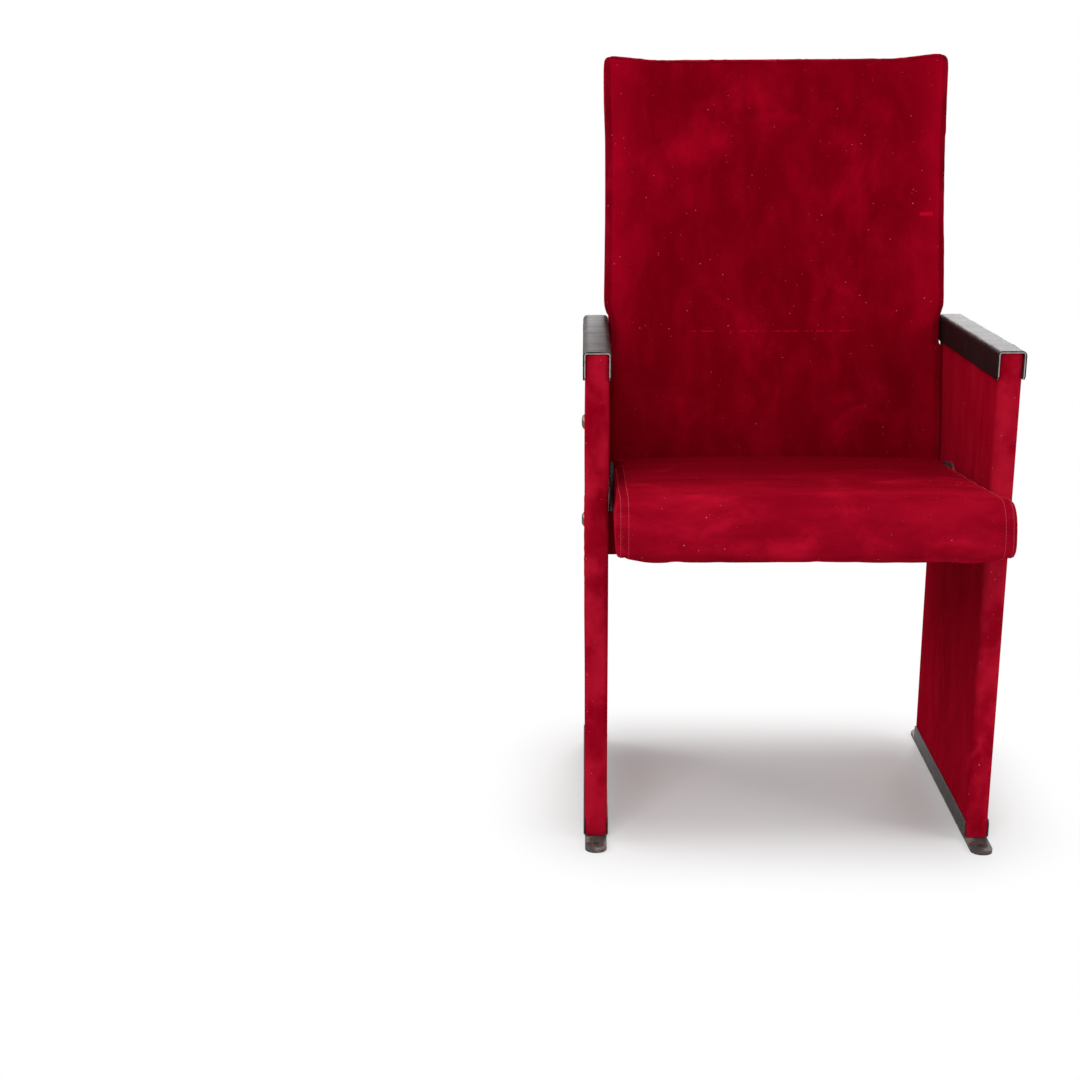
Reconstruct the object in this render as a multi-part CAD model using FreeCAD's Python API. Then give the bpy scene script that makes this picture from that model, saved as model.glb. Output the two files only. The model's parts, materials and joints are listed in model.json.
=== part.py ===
import FreeCAD
import Part
import math
import os

# A tip up auditorium seat, in millimetres.
# The origin is the middle of the four floor anchor holes, on the floor.
# +Z is up, the sitter faces -Y, and +X is on the sitter's left.

Vec = FreeCAD.Vector

# Overall
seat_gap = 464.0            # clear width between the two side panels
side_depth = 340.0          # side panel, front edge to rear edge
arm_top = 638.0             # floor to the top of the arm

# Side panels: a plywood board in a velvet sleeve
board_thickness = 25.0
sleeve_wall = 2.0
side_edge_radius = 8.0      # rounded front and rear edges of the velvet

# Arm caps: a bent steel core under a wrap of black leatherette
arm_skirt = 35.0            # top of the arm to the lower edge of the cap
arm_core_wall = 1.2
arm_wrap_wall = 1.6
arm_overhang = 2.0          # past the panel's edge, front and rear
arm_edge_radius = 5.0       # along the two upper edges
arm_corner_cut = 4.0        # at the lower corners of the skirt

# Floor channels and base bars
channel_wall = 1.5
channel_rise = 23.5         # channel side, from the top of the base bar
channel_setback = 3.0       # channel end, behind the panel's edge
channel_corner = 5.0
base_bar_width = 28.0
base_bar_thickness = 5.0
tab_length = 40.0           # bar past the panel's edge, front and rear
anchor_hole = 9.0
anchor_setback = 20.0       # anchor hole, from the end of the bar
base_screw_spacing = 220.0
base_screw_shank = 5.0
base_screw_head = 10.0
base_screw_length = 45.0

# Bolts that hold the back between the side panels
bolt_setback = 31.0         # from the panel's rear edge
bolt_low = 352.0            # height of the lower bolt
bolt_spacing = 141.0
bolt_shank = 8.0
bolt_length = 51.0
bolt_head = 21.0
bolt_head_height = 5.0
bolt_rim = 1.6              # upright edge of the domed head
bolt_socket = 5.0           # across flats
bolt_socket_depth = 3.0
insert_diameter = 12.0
insert_length = 20.0

# Back, as its side outline: the front face, then the thickness behind it
back_bottom = 304.0
back_top = 985.0
back_foot_setback = 65.0    # front face at the bottom, from the panel's rear edge
back_bend = 457.0           # height at which the front face starts to recline
back_lower_lean = 1.9       # degrees from upright, below the bend
back_recline = 12.6         # degrees from upright, above the bend
back_foot_thickness = 63.0
back_waist_rise = 98.0      # thinnest place, above the bend
back_waist_thickness = 58.0
back_shoulder_drop = 270.0  # below the top
back_shoulder_thickness = 72.0
back_head_drop = 115.0      # thickest place, below the top
back_head_thickness = 76.0
back_top_thickness = 69.0
back_crown = 4.0            # front and rear faces, at mid width
back_side_gap = 0.5         # back to arm cap, each side
back_shoulder_swell = 7.0   # wider above the arms, each side
back_side_radius = 9.0
back_drawn_in = 2.0         # sides pull in between their corners
back_foot_radius = 22.0
back_heel_radius = 25.0
back_front_top_radius = 20.0
back_rear_top_radius = 30.0
back_bend_radius = 400.0

# Inside the back
rear_cover_depth = 12.0
shell_thickness = 12.0      # moulded plywood
shell_margin = 14.0         # shell edge, inside the cushion's side
shell_rise = 18.0           # shell's lower edge, above the back's bottom
shell_drop = 45.0           # shell's upper edge, below the back's top
rail_thickness = 33.0
rail_width = 40.0
rail_end = 17.0             # rail past the bolts' middles, above and below
rail_margin = 3.0           # rail, inside the cushion's side
rear_cover_drop = 33.0      # rear cover's upper edge, below the top
band_depth = 4.0            # gathered headrest band
band_height = 123.0         # the band's lower hem, below the top
band_seam = 9.0             # band's front seam, behind the front face
band_margin = 10.0

# Seat: built level about its pivot, then tilted
pivot_setback = 125.0       # pivot, from the panel's rear edge
pivot_height = 422.0
seat_tilt = 5.3             # degrees, front edge raised
seat_thickness = 69.0
seat_reach = 384.0          # pivot to the front of the nose
seat_tail = 50.0            # pivot to the rear face
seat_nose_rake = 6.0        # top of the nose, behind its foot
seat_crown = 3.5
seat_side_gap = 4.0
seat_side_radius = 9.0
seat_drawn_in = 2.0
seat_nose_top_radius = 32.0
seat_nose_foot_radius = 18.0
seat_tail_radius = 31.0
tip_up_angle = 92.0

# Hinge
hinge_plate_thickness = 3.0
hinge_plate_radius = 34.0
hinge_screw_circle = 27.0
hinge_screw_shank = 5.0
hinge_screw_head = 9.6
tee_nut_barrel = 8.0
tee_nut_flange = 18.0
tee_nut_flange_thickness = 1.5
tee_nut_length = 14.0
stud_diameter = 14.0
stud_engagement = 32.0      # stud, inside the hinge plate's face
stud_running_gap = 0.05
bush_wall = 4.45
bush_length = 28.0
bush_flange_radius = 15.5
running_gap = 0.3           # between faces that slide past each other
pivot_tube_wall = 2.5
stop_plate_thickness = 4.0
stop_plate_radius = 33.5
stop_plate_gap = 2.0        # stop plate to hinge plate, filled by the bush flange
stop_radius = 23.6          # pivot to stop peg
stop_peg = 10.0
stop_sleeve_wall = 1.5
stop_peg_angle = 150.0      # where the peg sits, from +Y towards +Z
hinge_relief = 1.0          # cushion to stop plate
hinge_relief_length = 42.0  # cushion cut back, in front of the pivot

# Inside the seat
seat_board_thickness = 12.0
seat_board_margin = 12.0    # board edge, inside the cushion's side
seat_board_front = 24.0     # board edge, behind the nose
seat_board_rear = 16.0      # board edge, ahead of the rear face
underside_margin = 10.0     # underside cover, inside the board's edge
seat_angle_leg = 22.0
seat_angle_height = 24.0
seat_angle_wall = 3.0
seat_angle_margin = 4.0     # angle bar, inside the board's edge
foam_groove = 0.6           # foam stands off the pivot tube
front_rail_width = 25.0
seat_screw_shank = 5.0
seat_screw_head = 10.0
seat_screw_count = 2
cover_screw_head = 9.0
cover_screw_shank = 4.0
cover_screw_rise = 2.2
cover_screw_grip = 8.0
cover_screw_setback = 16.0

# Worked out from the above
side_inner = seat_gap / 2.0
side_thickness = board_thickness + 2.0 * sleeve_wall
side_outer = side_inner + side_thickness
side_middle = side_inner + side_thickness / 2.0
half_depth = side_depth / 2.0
bar_end = half_depth + tab_length
anchor_y = bar_end - anchor_setback
panel_foot = base_bar_thickness + channel_wall
cap_wall = arm_core_wall + arm_wrap_wall
panel_top = arm_top - cap_wall
panel_top_radius = arm_edge_radius - cap_wall
bolt_y = half_depth - bolt_setback
bolt_heights = [bolt_low, bolt_low + bolt_spacing]
rail_low = bolt_low - rail_end
rail_high = bolt_low + bolt_spacing + rail_end
back_foot = half_depth - back_foot_setback
shell_low = back_bottom + shell_rise
shell_high = back_top - shell_drop
band_hem = back_top - band_height
pivot_y = half_depth - pivot_setback
back_half = side_inner - cap_wall - back_side_gap
seat_half = side_inner - seat_side_gap
half_thick = seat_thickness / 2.0
plate_face = side_inner - hinge_plate_thickness
stop_face = plate_face - stop_plate_gap
stop_inner = stop_face - stop_plate_thickness
bush_bore = stud_diameter / 2.0 + stud_running_gap
bush_radius = bush_bore + bush_wall
tube_radius = bush_radius + pivot_tube_wall
board_top = -tube_radius
board_foot = board_top - seat_board_thickness
sleeve_radius = stop_peg / 2.0 + stop_sleeve_wall
slot_half = sleeve_radius + running_gap
corner_share = 0.48         # of a run, for the rounding at each of its ends
least_radius = 0.5


# Shared shapes

def box(x, y, z):
    """A block between two places on each axis."""
    size = [max(pair) - min(pair) for pair in (x, y, z)]
    return Part.makeBox(size[0], size[1], size[2], Vec(min(x), min(y), min(z)))


def cylinder(radius, start, end):
    """A round bar from one point to another."""
    way = end - start
    return Part.makeCylinder(radius, way.Length, start, way)


def bar_along_x(radius, y, z, x_from, x_to):
    return cylinder(radius, Vec(x_from, y, z), Vec(x_to, y, z))


def mirrored(shape):
    """The same piece for the other side of the seat."""
    return shape.mirror(Vec(0, 0, 0), Vec(1, 0, 0))


def cut_all(shape, tools):
    for tool in tools:
        shape = shape.cut(tool)
    return shape


def offset_corner(before, here, after, depth):
    """Where two neighbouring edges meet once both have moved to their left by depth."""
    first = (here - before).normalize()
    second = (after - here).normalize()
    left = Vec(0, -first.z, first.y)
    turn = math.atan2(first.y * second.z - first.z * second.y, first.dot(second))
    return here + (left - first * math.tan(turn / 2.0)) * depth, turn


def outline(points, radii, x=0.0, inset=0.0):
    """A closed side outline at x, its corners rounded, drawn inwards by inset.

    Each corner keeps to its share of the two runs beside it.
    """
    count = len(points)
    raw = [Vec(x, y, z) for y, z in points]
    corners = [offset_corner(raw[i - 1], raw[i], raw[(i + 1) % count], inset) for i in range(count)]
    spans = []
    for i, (corner, turn) in enumerate(corners):
        if radii[i] <= 0:
            spans.append((corner, None, corner))
            continue
        before = corners[i - 1][0] - corner
        after = corners[(i + 1) % count][0] - corner
        room = corner_share * min(before.Length, after.Length)
        before.normalize()
        after.normalize()
        half_turn = abs(turn) / 2.0
        wanted = radii[i] - inset if turn > 0 else radii[i] + inset
        reach = min(max(wanted, least_radius) * math.tan(half_turn), room)
        radius = reach / math.tan(half_turn)
        centre = corner + (before + after).normalize() * (radius / math.cos(half_turn))
        middle = centre + (corner - centre).normalize() * radius
        spans.append((corner + before * reach, middle, corner + after * reach))
    edges = []
    for i in range(count):
        start, middle, end = spans[i]
        if middle is not None:
            edges.append(Part.Arc(start, middle, end).toShape())
        edges.append(Part.LineSegment(end, spans[(i + 1) % count][0]).toShape())
    return Part.Wire(edges)


def slab(points, radii, x_from, x_to):
    """A side outline pushed out along X."""
    face = Part.Face(outline(points, radii, x_from))
    return face.extrude(Vec(x_to - x_from, 0, 0))


def soften_sides(shape, half, radius):
    """Rounds the edges around both flat sides of a cushion."""
    around = []
    for edge in shape.Edges:
        bounds = edge.BoundBox
        if bounds.XLength < 0.01 and abs(abs(bounds.XMin) - half) < 0.01:
            around.append(edge)
    return shape.makeFillet(radius, around)


def draw_in(shape, half, depth, start, end, along):
    """Hollows both sides of a cushion between two ends, deepest half way."""
    length = (end - start).Length
    radius = (length * length / 4.0 + depth * depth) / (2.0 * depth)
    middle = (start + end) * 0.5
    for side in (-1, 1):
        centre = middle + Vec(side * (half + radius - depth), 0, 0)
        reach = along * length
        tool = cylinder(radius, centre - reach, centre + reach)
        shape = shape.cut(tool)
    return shape


def turned(profile, start, axis):
    """A round piece from its half profile, given as (radius, distance along the axis)."""
    side = Vec(0, 1, 0) if abs(axis.y) < 0.5 else Vec(1, 0, 0)
    corners = [start + side * r + axis * a for r, a in profile]
    wire = Part.makePolygon(corners + [corners[0]])
    return Part.Face(wire).revolve(start, axis, 360)


def countersunk(shank, head, length, start, axis):
    """A countersunk screw whose head's flat face is at start and whose shank runs along axis."""
    depth = (head - shank) / 2.0
    return turned([(0, 0), (head / 2.0, 0), (shank / 2.0, depth), (shank / 2.0, length), (0, length)],
                  start, axis)


# Side panels

def panel(inset):
    """A panel drawn in by inset, with its front and rear edges rounded."""
    shape = box((side_inner + inset, side_outer - inset),
                (-half_depth + inset, half_depth - inset), (panel_foot, panel_top - inset))
    upright = [edge for edge in shape.Edges
               if edge.BoundBox.XLength < 0.01 and edge.BoundBox.YLength < 0.01]
    return shape.makeFillet(side_edge_radius - inset, upright)


def side_sleeve(board):
    """Felt and velvet around the board: rounded over the top, open in the channel."""
    rounded = box((side_inner, side_outer), (-side_depth, side_depth), (0, panel_top))
    upper = [edge for edge in rounded.Edges
             if edge.BoundBox.YLength > side_depth and edge.BoundBox.ZMin > panel_top - 0.01]
    rounded = rounded.makeFillet(panel_top_radius, upper)
    return panel(0.0).common(rounded).cut(board)


def arm_shell(outside, wall, radius):
    """A U over the arm: outside is how far its outer face stands off the panel."""
    length = half_depth + arm_overhang
    low = arm_top - arm_skirt
    top = panel_top + outside
    outer = box((side_inner - outside, side_outer + outside), (-length, length), (low, top))
    upper = [edge for edge in outer.Edges
             if edge.BoundBox.YLength > length and edge.BoundBox.ZMin > top - 0.01]
    outer = outer.makeFillet(radius, upper)
    inside = outside - wall
    inner = box((side_inner - inside, side_outer + inside), (-2 * length, 2 * length),
                (low - arm_skirt, panel_top + inside))
    if radius > wall:
        upper = [edge for edge in inner.Edges
                 if edge.BoundBox.YLength > length and edge.BoundBox.ZMin > panel_top + inside - 0.01]
        inner = inner.makeFillet(radius - wall, upper)
    shell = outer.cut(inner)
    for end in (-1, 1):
        tip = end * length
        back = end * (length - arm_corner_cut)
        face = Part.Face(Part.makePolygon([Vec(0, tip, low), Vec(0, back, low),
                                           Vec(0, tip, low + arm_corner_cut), Vec(0, tip, low)]))
        shell = shell.cut(face.extrude(Vec(2 * side_outer, 0, 0)))
    return shell


def floor_channel():
    """Painted steel U that holds the foot of the panel."""
    length = half_depth - channel_setback
    top = base_bar_thickness + channel_rise
    outer = box((side_inner - channel_wall, side_outer + channel_wall), (-length, length),
                (base_bar_thickness, top))
    corners = [edge for edge in outer.Edges
               if edge.BoundBox.YLength < 0.01 and edge.BoundBox.ZLength < 0.01
               and edge.BoundBox.ZMin > top - 0.01]
    outer = outer.makeFillet(channel_corner, corners)
    inner = box((side_inner, side_outer), (-side_depth, side_depth), (panel_foot, 2 * top))
    return outer.cut(inner)


def base_bar():
    """Flat steel bar with a rounded tab and an anchor hole at each end."""
    half = base_bar_width / 2.0
    bar = box((side_middle - half, side_middle + half), (-bar_end, bar_end), (0, base_bar_thickness))
    tips = [edge for edge in bar.Edges
            if edge.BoundBox.XLength < 0.01 and edge.BoundBox.YLength < 0.01]
    bar = bar.makeFillet(0.9 * half, tips)
    for y in (-anchor_y, anchor_y):
        bar = bar.cut(cylinder(anchor_hole / 2.0, Vec(side_middle, y, -1),
                               Vec(side_middle, y, base_bar_thickness + 1)))
    return bar


def base_screws():
    """Wood screws from under the bar, through the channel, into the board."""
    places = [-base_screw_spacing / 2.0, base_screw_spacing / 2.0]
    return [countersunk(base_screw_shank, base_screw_head, base_screw_length,
                        Vec(side_middle, y, 0), Vec(0, 0, 1)) for y in places]


# Bolts

def back_bolt(height):
    """Domed bolt with a hexagon socket, from outside the panel into the back's rail."""
    start = Vec(side_outer + bolt_head_height, bolt_y, height)
    inwards = Vec(-1, 0, 0)
    radius = bolt_head / 2.0
    dome = bolt_head_height - bolt_rim
    sphere = (radius * radius + dome * dome) / (2.0 * dome)
    centre = Vec(side_outer + bolt_head_height - sphere, bolt_y, height)
    head = bar_along_x(radius, bolt_y, height, side_outer, side_outer + bolt_head_height)
    head = head.common(Part.makeSphere(sphere, centre))
    shank = bar_along_x(bolt_shank / 2.0, bolt_y, height, side_outer, side_outer - bolt_length)
    across_corners = bolt_socket / math.sqrt(3.0)
    corners = []
    for i in range(7):
        angle = math.radians(60.0 * i)
        corners.append(start + Vec(0, math.cos(angle), math.sin(angle)) * across_corners)
    socket = Part.Face(Part.makePolygon(corners)).extrude(inwards * bolt_socket_depth)
    return head.fuse(shank).removeSplitter().cut(socket)


def bolt_hole(height, radius):
    return bar_along_x(radius, bolt_y, height, back_half - rail_width, side_outer + bolt_head_height)


def insert_nut(height):
    """Threaded sleeve in the back's rail."""
    mouth = back_half - rail_margin
    body = bar_along_x(insert_diameter / 2.0, bolt_y, height, mouth - insert_length, mouth)
    return body.cut(bolt_hole(height, bolt_shank / 2.0))


# Back

def back_front(height):
    """y of the uncrowned front face at a height."""
    lower = min(height, back_bend) - back_bottom
    upper = max(height - back_bend, 0.0)
    return (back_foot + lower * math.tan(math.radians(back_lower_lean))
            + upper * math.tan(math.radians(back_recline)))


waist_height = back_bend + back_waist_rise
shoulder_height = back_top - back_shoulder_drop
head_height = back_top - back_head_drop

back_rear_line = [
    (back_front(back_bottom) + back_foot_thickness, back_bottom),
    (back_front(waist_height) + back_waist_thickness, waist_height),
    (back_front(shoulder_height) + back_shoulder_thickness, shoulder_height),
    (back_front(head_height) + back_head_thickness, head_height),
    (back_front(back_top) + back_top_thickness, back_top),
]


def back_section(x, crown, inset=0.0):
    """Side outline of the back at x, its faces pushed out by crown."""
    rear = [(y + crown, z) for y, z in back_rear_line]
    front = [(back_front(z) - crown, z) for z in (back_top, back_bend, back_bottom)]
    radii = [back_heel_radius, back_bend_radius, back_bend_radius, back_bend_radius,
             back_rear_top_radius, back_front_top_radius, back_bend_radius, back_foot_radius]
    return outline(rear + front, radii, x, inset)


def back_form(half, inset=0.0):
    """Crowned form of the back, from side to side."""
    crowns = [(-half, 0.0), (0.0, back_crown), (half, 0.0)]
    return Part.makeLoft([back_section(x, crown, inset) for x, crown in crowns], True, False)


def rear_zone(depth, low, high):
    """All that lies behind a surface that follows the back's rear face at a depth."""
    beyond = back_rear_line[-1][0] + 200.0
    raw = [Vec(0, y, z) for y, z in back_rear_line]
    raw = [raw[0] + (raw[0] - raw[1])] + raw + [raw[-1] + (raw[-1] - raw[-2])]
    line = [offset_corner(raw[i - 1], raw[i], raw[i + 1], depth)[0] for i in range(1, len(raw) - 1)]
    first = offset_corner(raw[0], raw[1], raw[2], depth)[0] + (raw[0] - raw[1])
    last = line[-1] + (raw[-1] - raw[-2])
    path = [first] + line[1:-1] + [last]
    points = [(beyond, path[0].z), (beyond, path[-1].z)] + [(p.y, p.z) for p in reversed(path)]
    radii = [0, 0, 0] + [back_bend_radius] * (len(path) - 2) + [0]
    width = 2.0 * side_outer
    zone = slab(points, radii, -width / 2.0, width / 2.0)
    return zone.common(box((-width, width), (-beyond, 2 * beyond), (low, high)))


def back_outer():
    """Upholstered back, swelling out above the arms."""
    half = back_half + back_shoulder_swell
    form = soften_sides(back_form(half), half, back_side_radius)
    low = Vec(0, 0, arm_top)
    high = Vec(0, 0, back_top)
    form = draw_in(form, half, back_drawn_in, low, high, Vec(0, 1, 0))
    shoulder = arm_top + 2.0 * back_shoulder_swell
    deep = back_bottom / 2.0
    for side in (-1, 1):
        inner = side * back_half
        outer = side * (half + back_shoulder_swell)
        swell = side * half
        corners = [Vec(inner, 0, deep), Vec(outer, 0, deep), Vec(outer, 0, shoulder),
                   Vec(swell, 0, shoulder), Vec(inner, 0, arm_top), Vec(inner, 0, deep)]
        tool = Part.Face(Part.makePolygon(corners)).extrude(Vec(0, 2 * side_depth, 0))
        form = form.cut(tool)
    return form


def headrest_band(outer):
    """Gathered velvet over the rear and top of the headrest."""
    half = back_half + back_shoulder_swell
    layer = outer.cut(back_form(half + 1.0, band_depth))
    reach = half - band_margin
    beyond = 2.0 * side_depth
    region = box((-reach, reach), (0, beyond), (band_hem, back_top + band_depth))
    lean = math.tan(math.radians(back_recline))
    low = back_front(band_hem) + band_seam
    rise = back_top + band_depth - band_hem
    front = Part.Face(Part.makePolygon([
        Vec(-reach, 0, band_hem), Vec(-reach, low, band_hem),
        Vec(-reach, low + rise * lean, band_hem + rise),
        Vec(-reach, 0, band_hem + rise), Vec(-reach, 0, band_hem)]))
    region = region.cut(front.extrude(Vec(2 * reach, 0, 0)))
    return layer.common(region)


def plywood_shell():
    reach = back_half - shell_margin
    layer = rear_zone(rear_cover_depth + shell_thickness, shell_low, shell_high)
    layer = layer.cut(rear_zone(rear_cover_depth, shell_low - 1.0, shell_high + 1.0))
    return layer.common(box((-reach, reach), (0, 2 * side_depth), (shell_low, shell_high)))


def back_rail():
    """Beech rail that takes the bolts, in front of the shell."""
    depth = rear_cover_depth + shell_thickness
    layer = rear_zone(depth + rail_thickness, rail_low, rail_high)
    layer = layer.cut(rear_zone(depth, rail_low - 1.0, rail_high + 1.0))
    outer = back_half - rail_margin
    return layer.common(box((outer - rail_width, outer), (0, 2 * side_depth), (rail_low, rail_high)))


# Seat, level, with its pivot on the X axis

def seat_section(x, crown):
    top = half_thick + crown
    points = [(seat_tail, -half_thick), (seat_tail, top),
              (seat_nose_rake - seat_reach, top), (-seat_reach, -half_thick)]
    radii = [seat_tail_radius, seat_tail_radius, seat_nose_top_radius, seat_nose_foot_radius]
    return outline(points, radii, x)


def seat_form():
    crowns = [(-seat_half, 0.0), (0.0, seat_crown), (seat_half, 0.0)]
    form = Part.makeLoft([seat_section(x, crown) for x, crown in crowns], True, False)
    form = soften_sides(form, seat_half, seat_side_radius)
    rear = Vec(0, -hinge_relief_length, 0)
    nose = Vec(0, -seat_reach, 0)
    form = draw_in(form, seat_half, seat_drawn_in, nose, rear, Vec(0, 0, 1))
    inner = stop_inner - hinge_relief
    for side in (-1, 1):
        form = form.cut(box((side * inner, side * side_outer), (-hinge_relief_length, seat_reach),
                            (-seat_thickness, seat_thickness)))
    return form


def seat_board():
    half = seat_half - seat_board_margin
    return box((-half, half), (seat_board_front - seat_reach, seat_tail - seat_board_rear),
               (board_foot, board_top))


def underside_cover():
    half = seat_half - seat_board_margin - underside_margin
    return box((-half, half),
               (seat_board_front + underside_margin - seat_reach,
                seat_tail - seat_board_rear - underside_margin),
               (-half_thick, board_foot))


angle_outer = seat_half - seat_board_margin - seat_angle_margin
angle_front = seat_board_front + seat_angle_margin - seat_reach


def seat_angle():
    """Angle bar on the board, coped and welded to the pivot tube."""
    inner = angle_outer - seat_angle_leg
    upright = box((angle_outer - seat_angle_wall, angle_outer), (angle_front, -tube_radius / 2.0),
                  (board_top, board_top + seat_angle_height))
    flat = box((inner, angle_outer), (angle_front, -tube_radius),
               (board_top, board_top + seat_angle_wall))
    bar = upright.fuse(flat).removeSplitter()
    return bar.cut(bar_along_x(tube_radius, 0, 0, -side_outer, side_outer))


def front_rail():
    inner = angle_outer - seat_angle_leg
    return box((-inner, inner), (angle_front, angle_front + front_rail_width),
               (board_top, board_top + seat_angle_wall))


def seat_screw_places():
    """Where the board is screwed to the angle bars, on the sitter's left."""
    x = angle_outer - seat_angle_leg / 2.0
    first = -2.0 * tube_radius
    last = angle_front + front_rail_width / 2.0
    step = (last - first) / (seat_screw_count - 1)
    return [(x, first + i * step) for i in range(seat_screw_count)]


def seat_screws():
    length = seat_board_thickness + seat_angle_wall
    return [countersunk(seat_screw_shank, seat_screw_head, length, Vec(x, y, board_foot), Vec(0, 0, 1))
            for x, y in seat_screw_places()]


def cover_screw_places():
    cover = underside_cover().BoundBox
    x = cover.XMax - cover_screw_setback
    return [(x, cover.YMin + cover_screw_setback), (x, cover.YMax - cover_screw_setback)]


def cover_screw(x, y):
    """Round headed screw that holds the underside cover to the board."""
    head = cover_screw_head / 2.0
    shank = cover_screw_shank / 2.0
    length = cover_screw_rise + (board_foot + half_thick) + cover_screw_grip
    shoulder = 0.4 * cover_screw_rise
    profile = [(0, 0), (0.6 * head, 0), (head, shoulder), (head, cover_screw_rise),
               (shank, cover_screw_rise), (shank, length), (0, length)]
    return turned(profile, Vec(x, y, -half_thick - cover_screw_rise), Vec(0, 0, 1))


# Hinge, about the pivot

def around_pivot(radius, angle):
    """A place on a circle about the pivot, from +Y towards +Z."""
    turn = math.radians(angle)
    return Vec(0, radius * math.cos(turn), radius * math.sin(turn))


def stop_plate():
    """Steel disc on the pivot tube, with the curved slot that limits the seat's swing."""
    disc = bar_along_x(stop_plate_radius, 0, 0, stop_inner, stop_face)
    ring = bar_along_x(stop_radius + slot_half, 0, 0, stop_inner - 1, stop_face + 1)
    ring = ring.cut(bar_along_x(stop_radius - slot_half, 0, 0, stop_inner - 2, stop_face + 2))
    overrun = math.degrees(running_gap / stop_radius)
    start = stop_peg_angle - overrun
    sweep = tip_up_angle + 2.0 * overrun
    reach = 4.0 * stop_plate_radius
    fan = [Vec(0, 0, 0)]
    steps = 4
    for i in range(steps + 1):
        fan.append(around_pivot(reach, start + sweep * i / steps))
    fan.append(fan[0])
    wedge = Part.Face(Part.makePolygon(fan)).extrude(Vec(stop_face + 10, 0, 0))
    slot = ring.common(wedge)
    for angle in (start, start + sweep):
        centre = around_pivot(stop_radius, angle)
        slot = slot.fuse(bar_along_x(slot_half, centre.y, centre.z, stop_inner - 1, stop_face + 1))
    bore = bar_along_x(bush_radius, 0, 0, stop_inner - 1, stop_face + 1)
    return disc.cut(slot.removeSplitter()).cut(bore)


def pivot_tube():
    tube = bar_along_x(tube_radius, 0, 0, -stop_inner, stop_inner)
    return tube.cut(bar_along_x(bush_radius, 0, 0, -side_outer, side_outer))


def pivot_bush():
    """Nylon bush with a thrust flange against the hinge plate."""
    body = bar_along_x(bush_radius, 0, 0, stop_face - bush_length, stop_face)
    flange = bar_along_x(bush_flange_radius, 0, 0, stop_face, plate_face - running_gap)
    return body.fuse(flange).removeSplitter().cut(
        bar_along_x(bush_bore, 0, 0, stop_face - 2 * bush_length, plate_face))


def hinge_screw_places():
    """Three screws spread around the hinge plate, the first opposite the stop peg."""
    return [around_pivot(hinge_screw_circle, stop_peg_angle + turn) for turn in (180.0, 75.0, -75.0)]


def hinge_screws():
    length = hinge_plate_thickness + sleeve_wall + board_thickness
    return [countersunk(hinge_screw_shank, hinge_screw_head, length,
                        Vec(plate_face, p.y, p.z), Vec(1, 0, 0)) for p in hinge_screw_places()]


def tee_nuts():
    """Threaded nuts let into the outer face of the board, under the velvet."""
    face = side_outer - sleeve_wall
    nuts = []
    for p in hinge_screw_places():
        barrel = bar_along_x(tee_nut_barrel / 2.0, p.y, p.z, face - tee_nut_length, face)
        flange = bar_along_x(tee_nut_flange / 2.0, p.y, p.z, face - tee_nut_flange_thickness, face)
        nuts.append(barrel.fuse(flange).removeSplitter())
    return nuts


def pivot_stud():
    return bar_along_x(stud_diameter / 2.0, 0, 0, plate_face - stud_engagement, side_inner)


def stop_peg_bar():
    place = around_pivot(stop_radius, stop_peg_angle)
    return bar_along_x(stop_peg / 2.0, place.y, place.z, stop_inner, side_inner)


def stop_sleeve(peg):
    place = around_pivot(stop_radius, stop_peg_angle)
    return bar_along_x(sleeve_radius, place.y, place.z, stop_inner, plate_face).cut(peg)


def hinge_plate():
    plate = bar_along_x(hinge_plate_radius, 0, 0, plate_face, side_inner)
    return cut_all(plate, [pivot_stud(), stop_peg_bar()] + hinge_screws())


# Assembly

pieces = {}


def on_both_sides(name, shape):
    pieces[name + "_left"] = shape
    pieces[name + "_right"] = mirrored(shape)


def group_on_both_sides(name, shapes):
    """Like fasteners on both sides, kept together as separate solids."""
    pieces[name] = Part.makeCompound(shapes + [mirrored(shape) for shape in shapes])


def at_pivot(shape):
    """From the pivot's own frame to the place of the hinge on the panel."""
    return shape.translated(Vec(0, pivot_y, pivot_height))


def seated(shape):
    """From the level seat to the seat at rest, tilted back about its pivot."""
    tilted = shape.copy()
    tilted.rotate(Vec(0, 0, 0), Vec(1, 0, 0), -seat_tilt)
    return at_pivot(tilted)


def build_sides():
    bar_screws = base_screws()
    nuts = [at_pivot(nut) for nut in tee_nuts()]
    screws = [at_pivot(screw) for screw in hinge_screws()]
    bolts = [back_bolt(height) for height in bolt_heights]
    holes = [bolt_hole(height, bolt_shank / 2.0) for height in bolt_heights]
    plain_board = panel(sleeve_wall)
    sleeve = cut_all(side_sleeve(plain_board), holes + screws)
    board = cut_all(plain_board, holes + screws + nuts + bar_screws)
    on_both_sides("side_board", board)
    on_both_sides("side_velvet", sleeve)
    on_both_sides("arm_core", arm_shell(arm_core_wall, arm_core_wall,
                                        arm_edge_radius - arm_wrap_wall))
    on_both_sides("arm_wrap", arm_shell(cap_wall, arm_wrap_wall, arm_edge_radius))
    on_both_sides("floor_channel", cut_all(floor_channel(), bar_screws))
    on_both_sides("base_bar", cut_all(base_bar(), bar_screws))
    group_on_both_sides("base_screws", bar_screws)
    group_on_both_sides("back_bolts", bolts)
    group_on_both_sides("hinge_screws", screws)
    group_on_both_sides("hinge_tee_nuts", [cut_all(nut, screws) for nut in nuts])


def build_hinge():
    peg = stop_peg_bar()
    on_both_sides("hinge_plate", at_pivot(hinge_plate()))
    on_both_sides("pivot_stud", at_pivot(pivot_stud()))
    on_both_sides("stop_peg", at_pivot(peg))
    on_both_sides("stop_sleeve", at_pivot(stop_sleeve(peg)))


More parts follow.
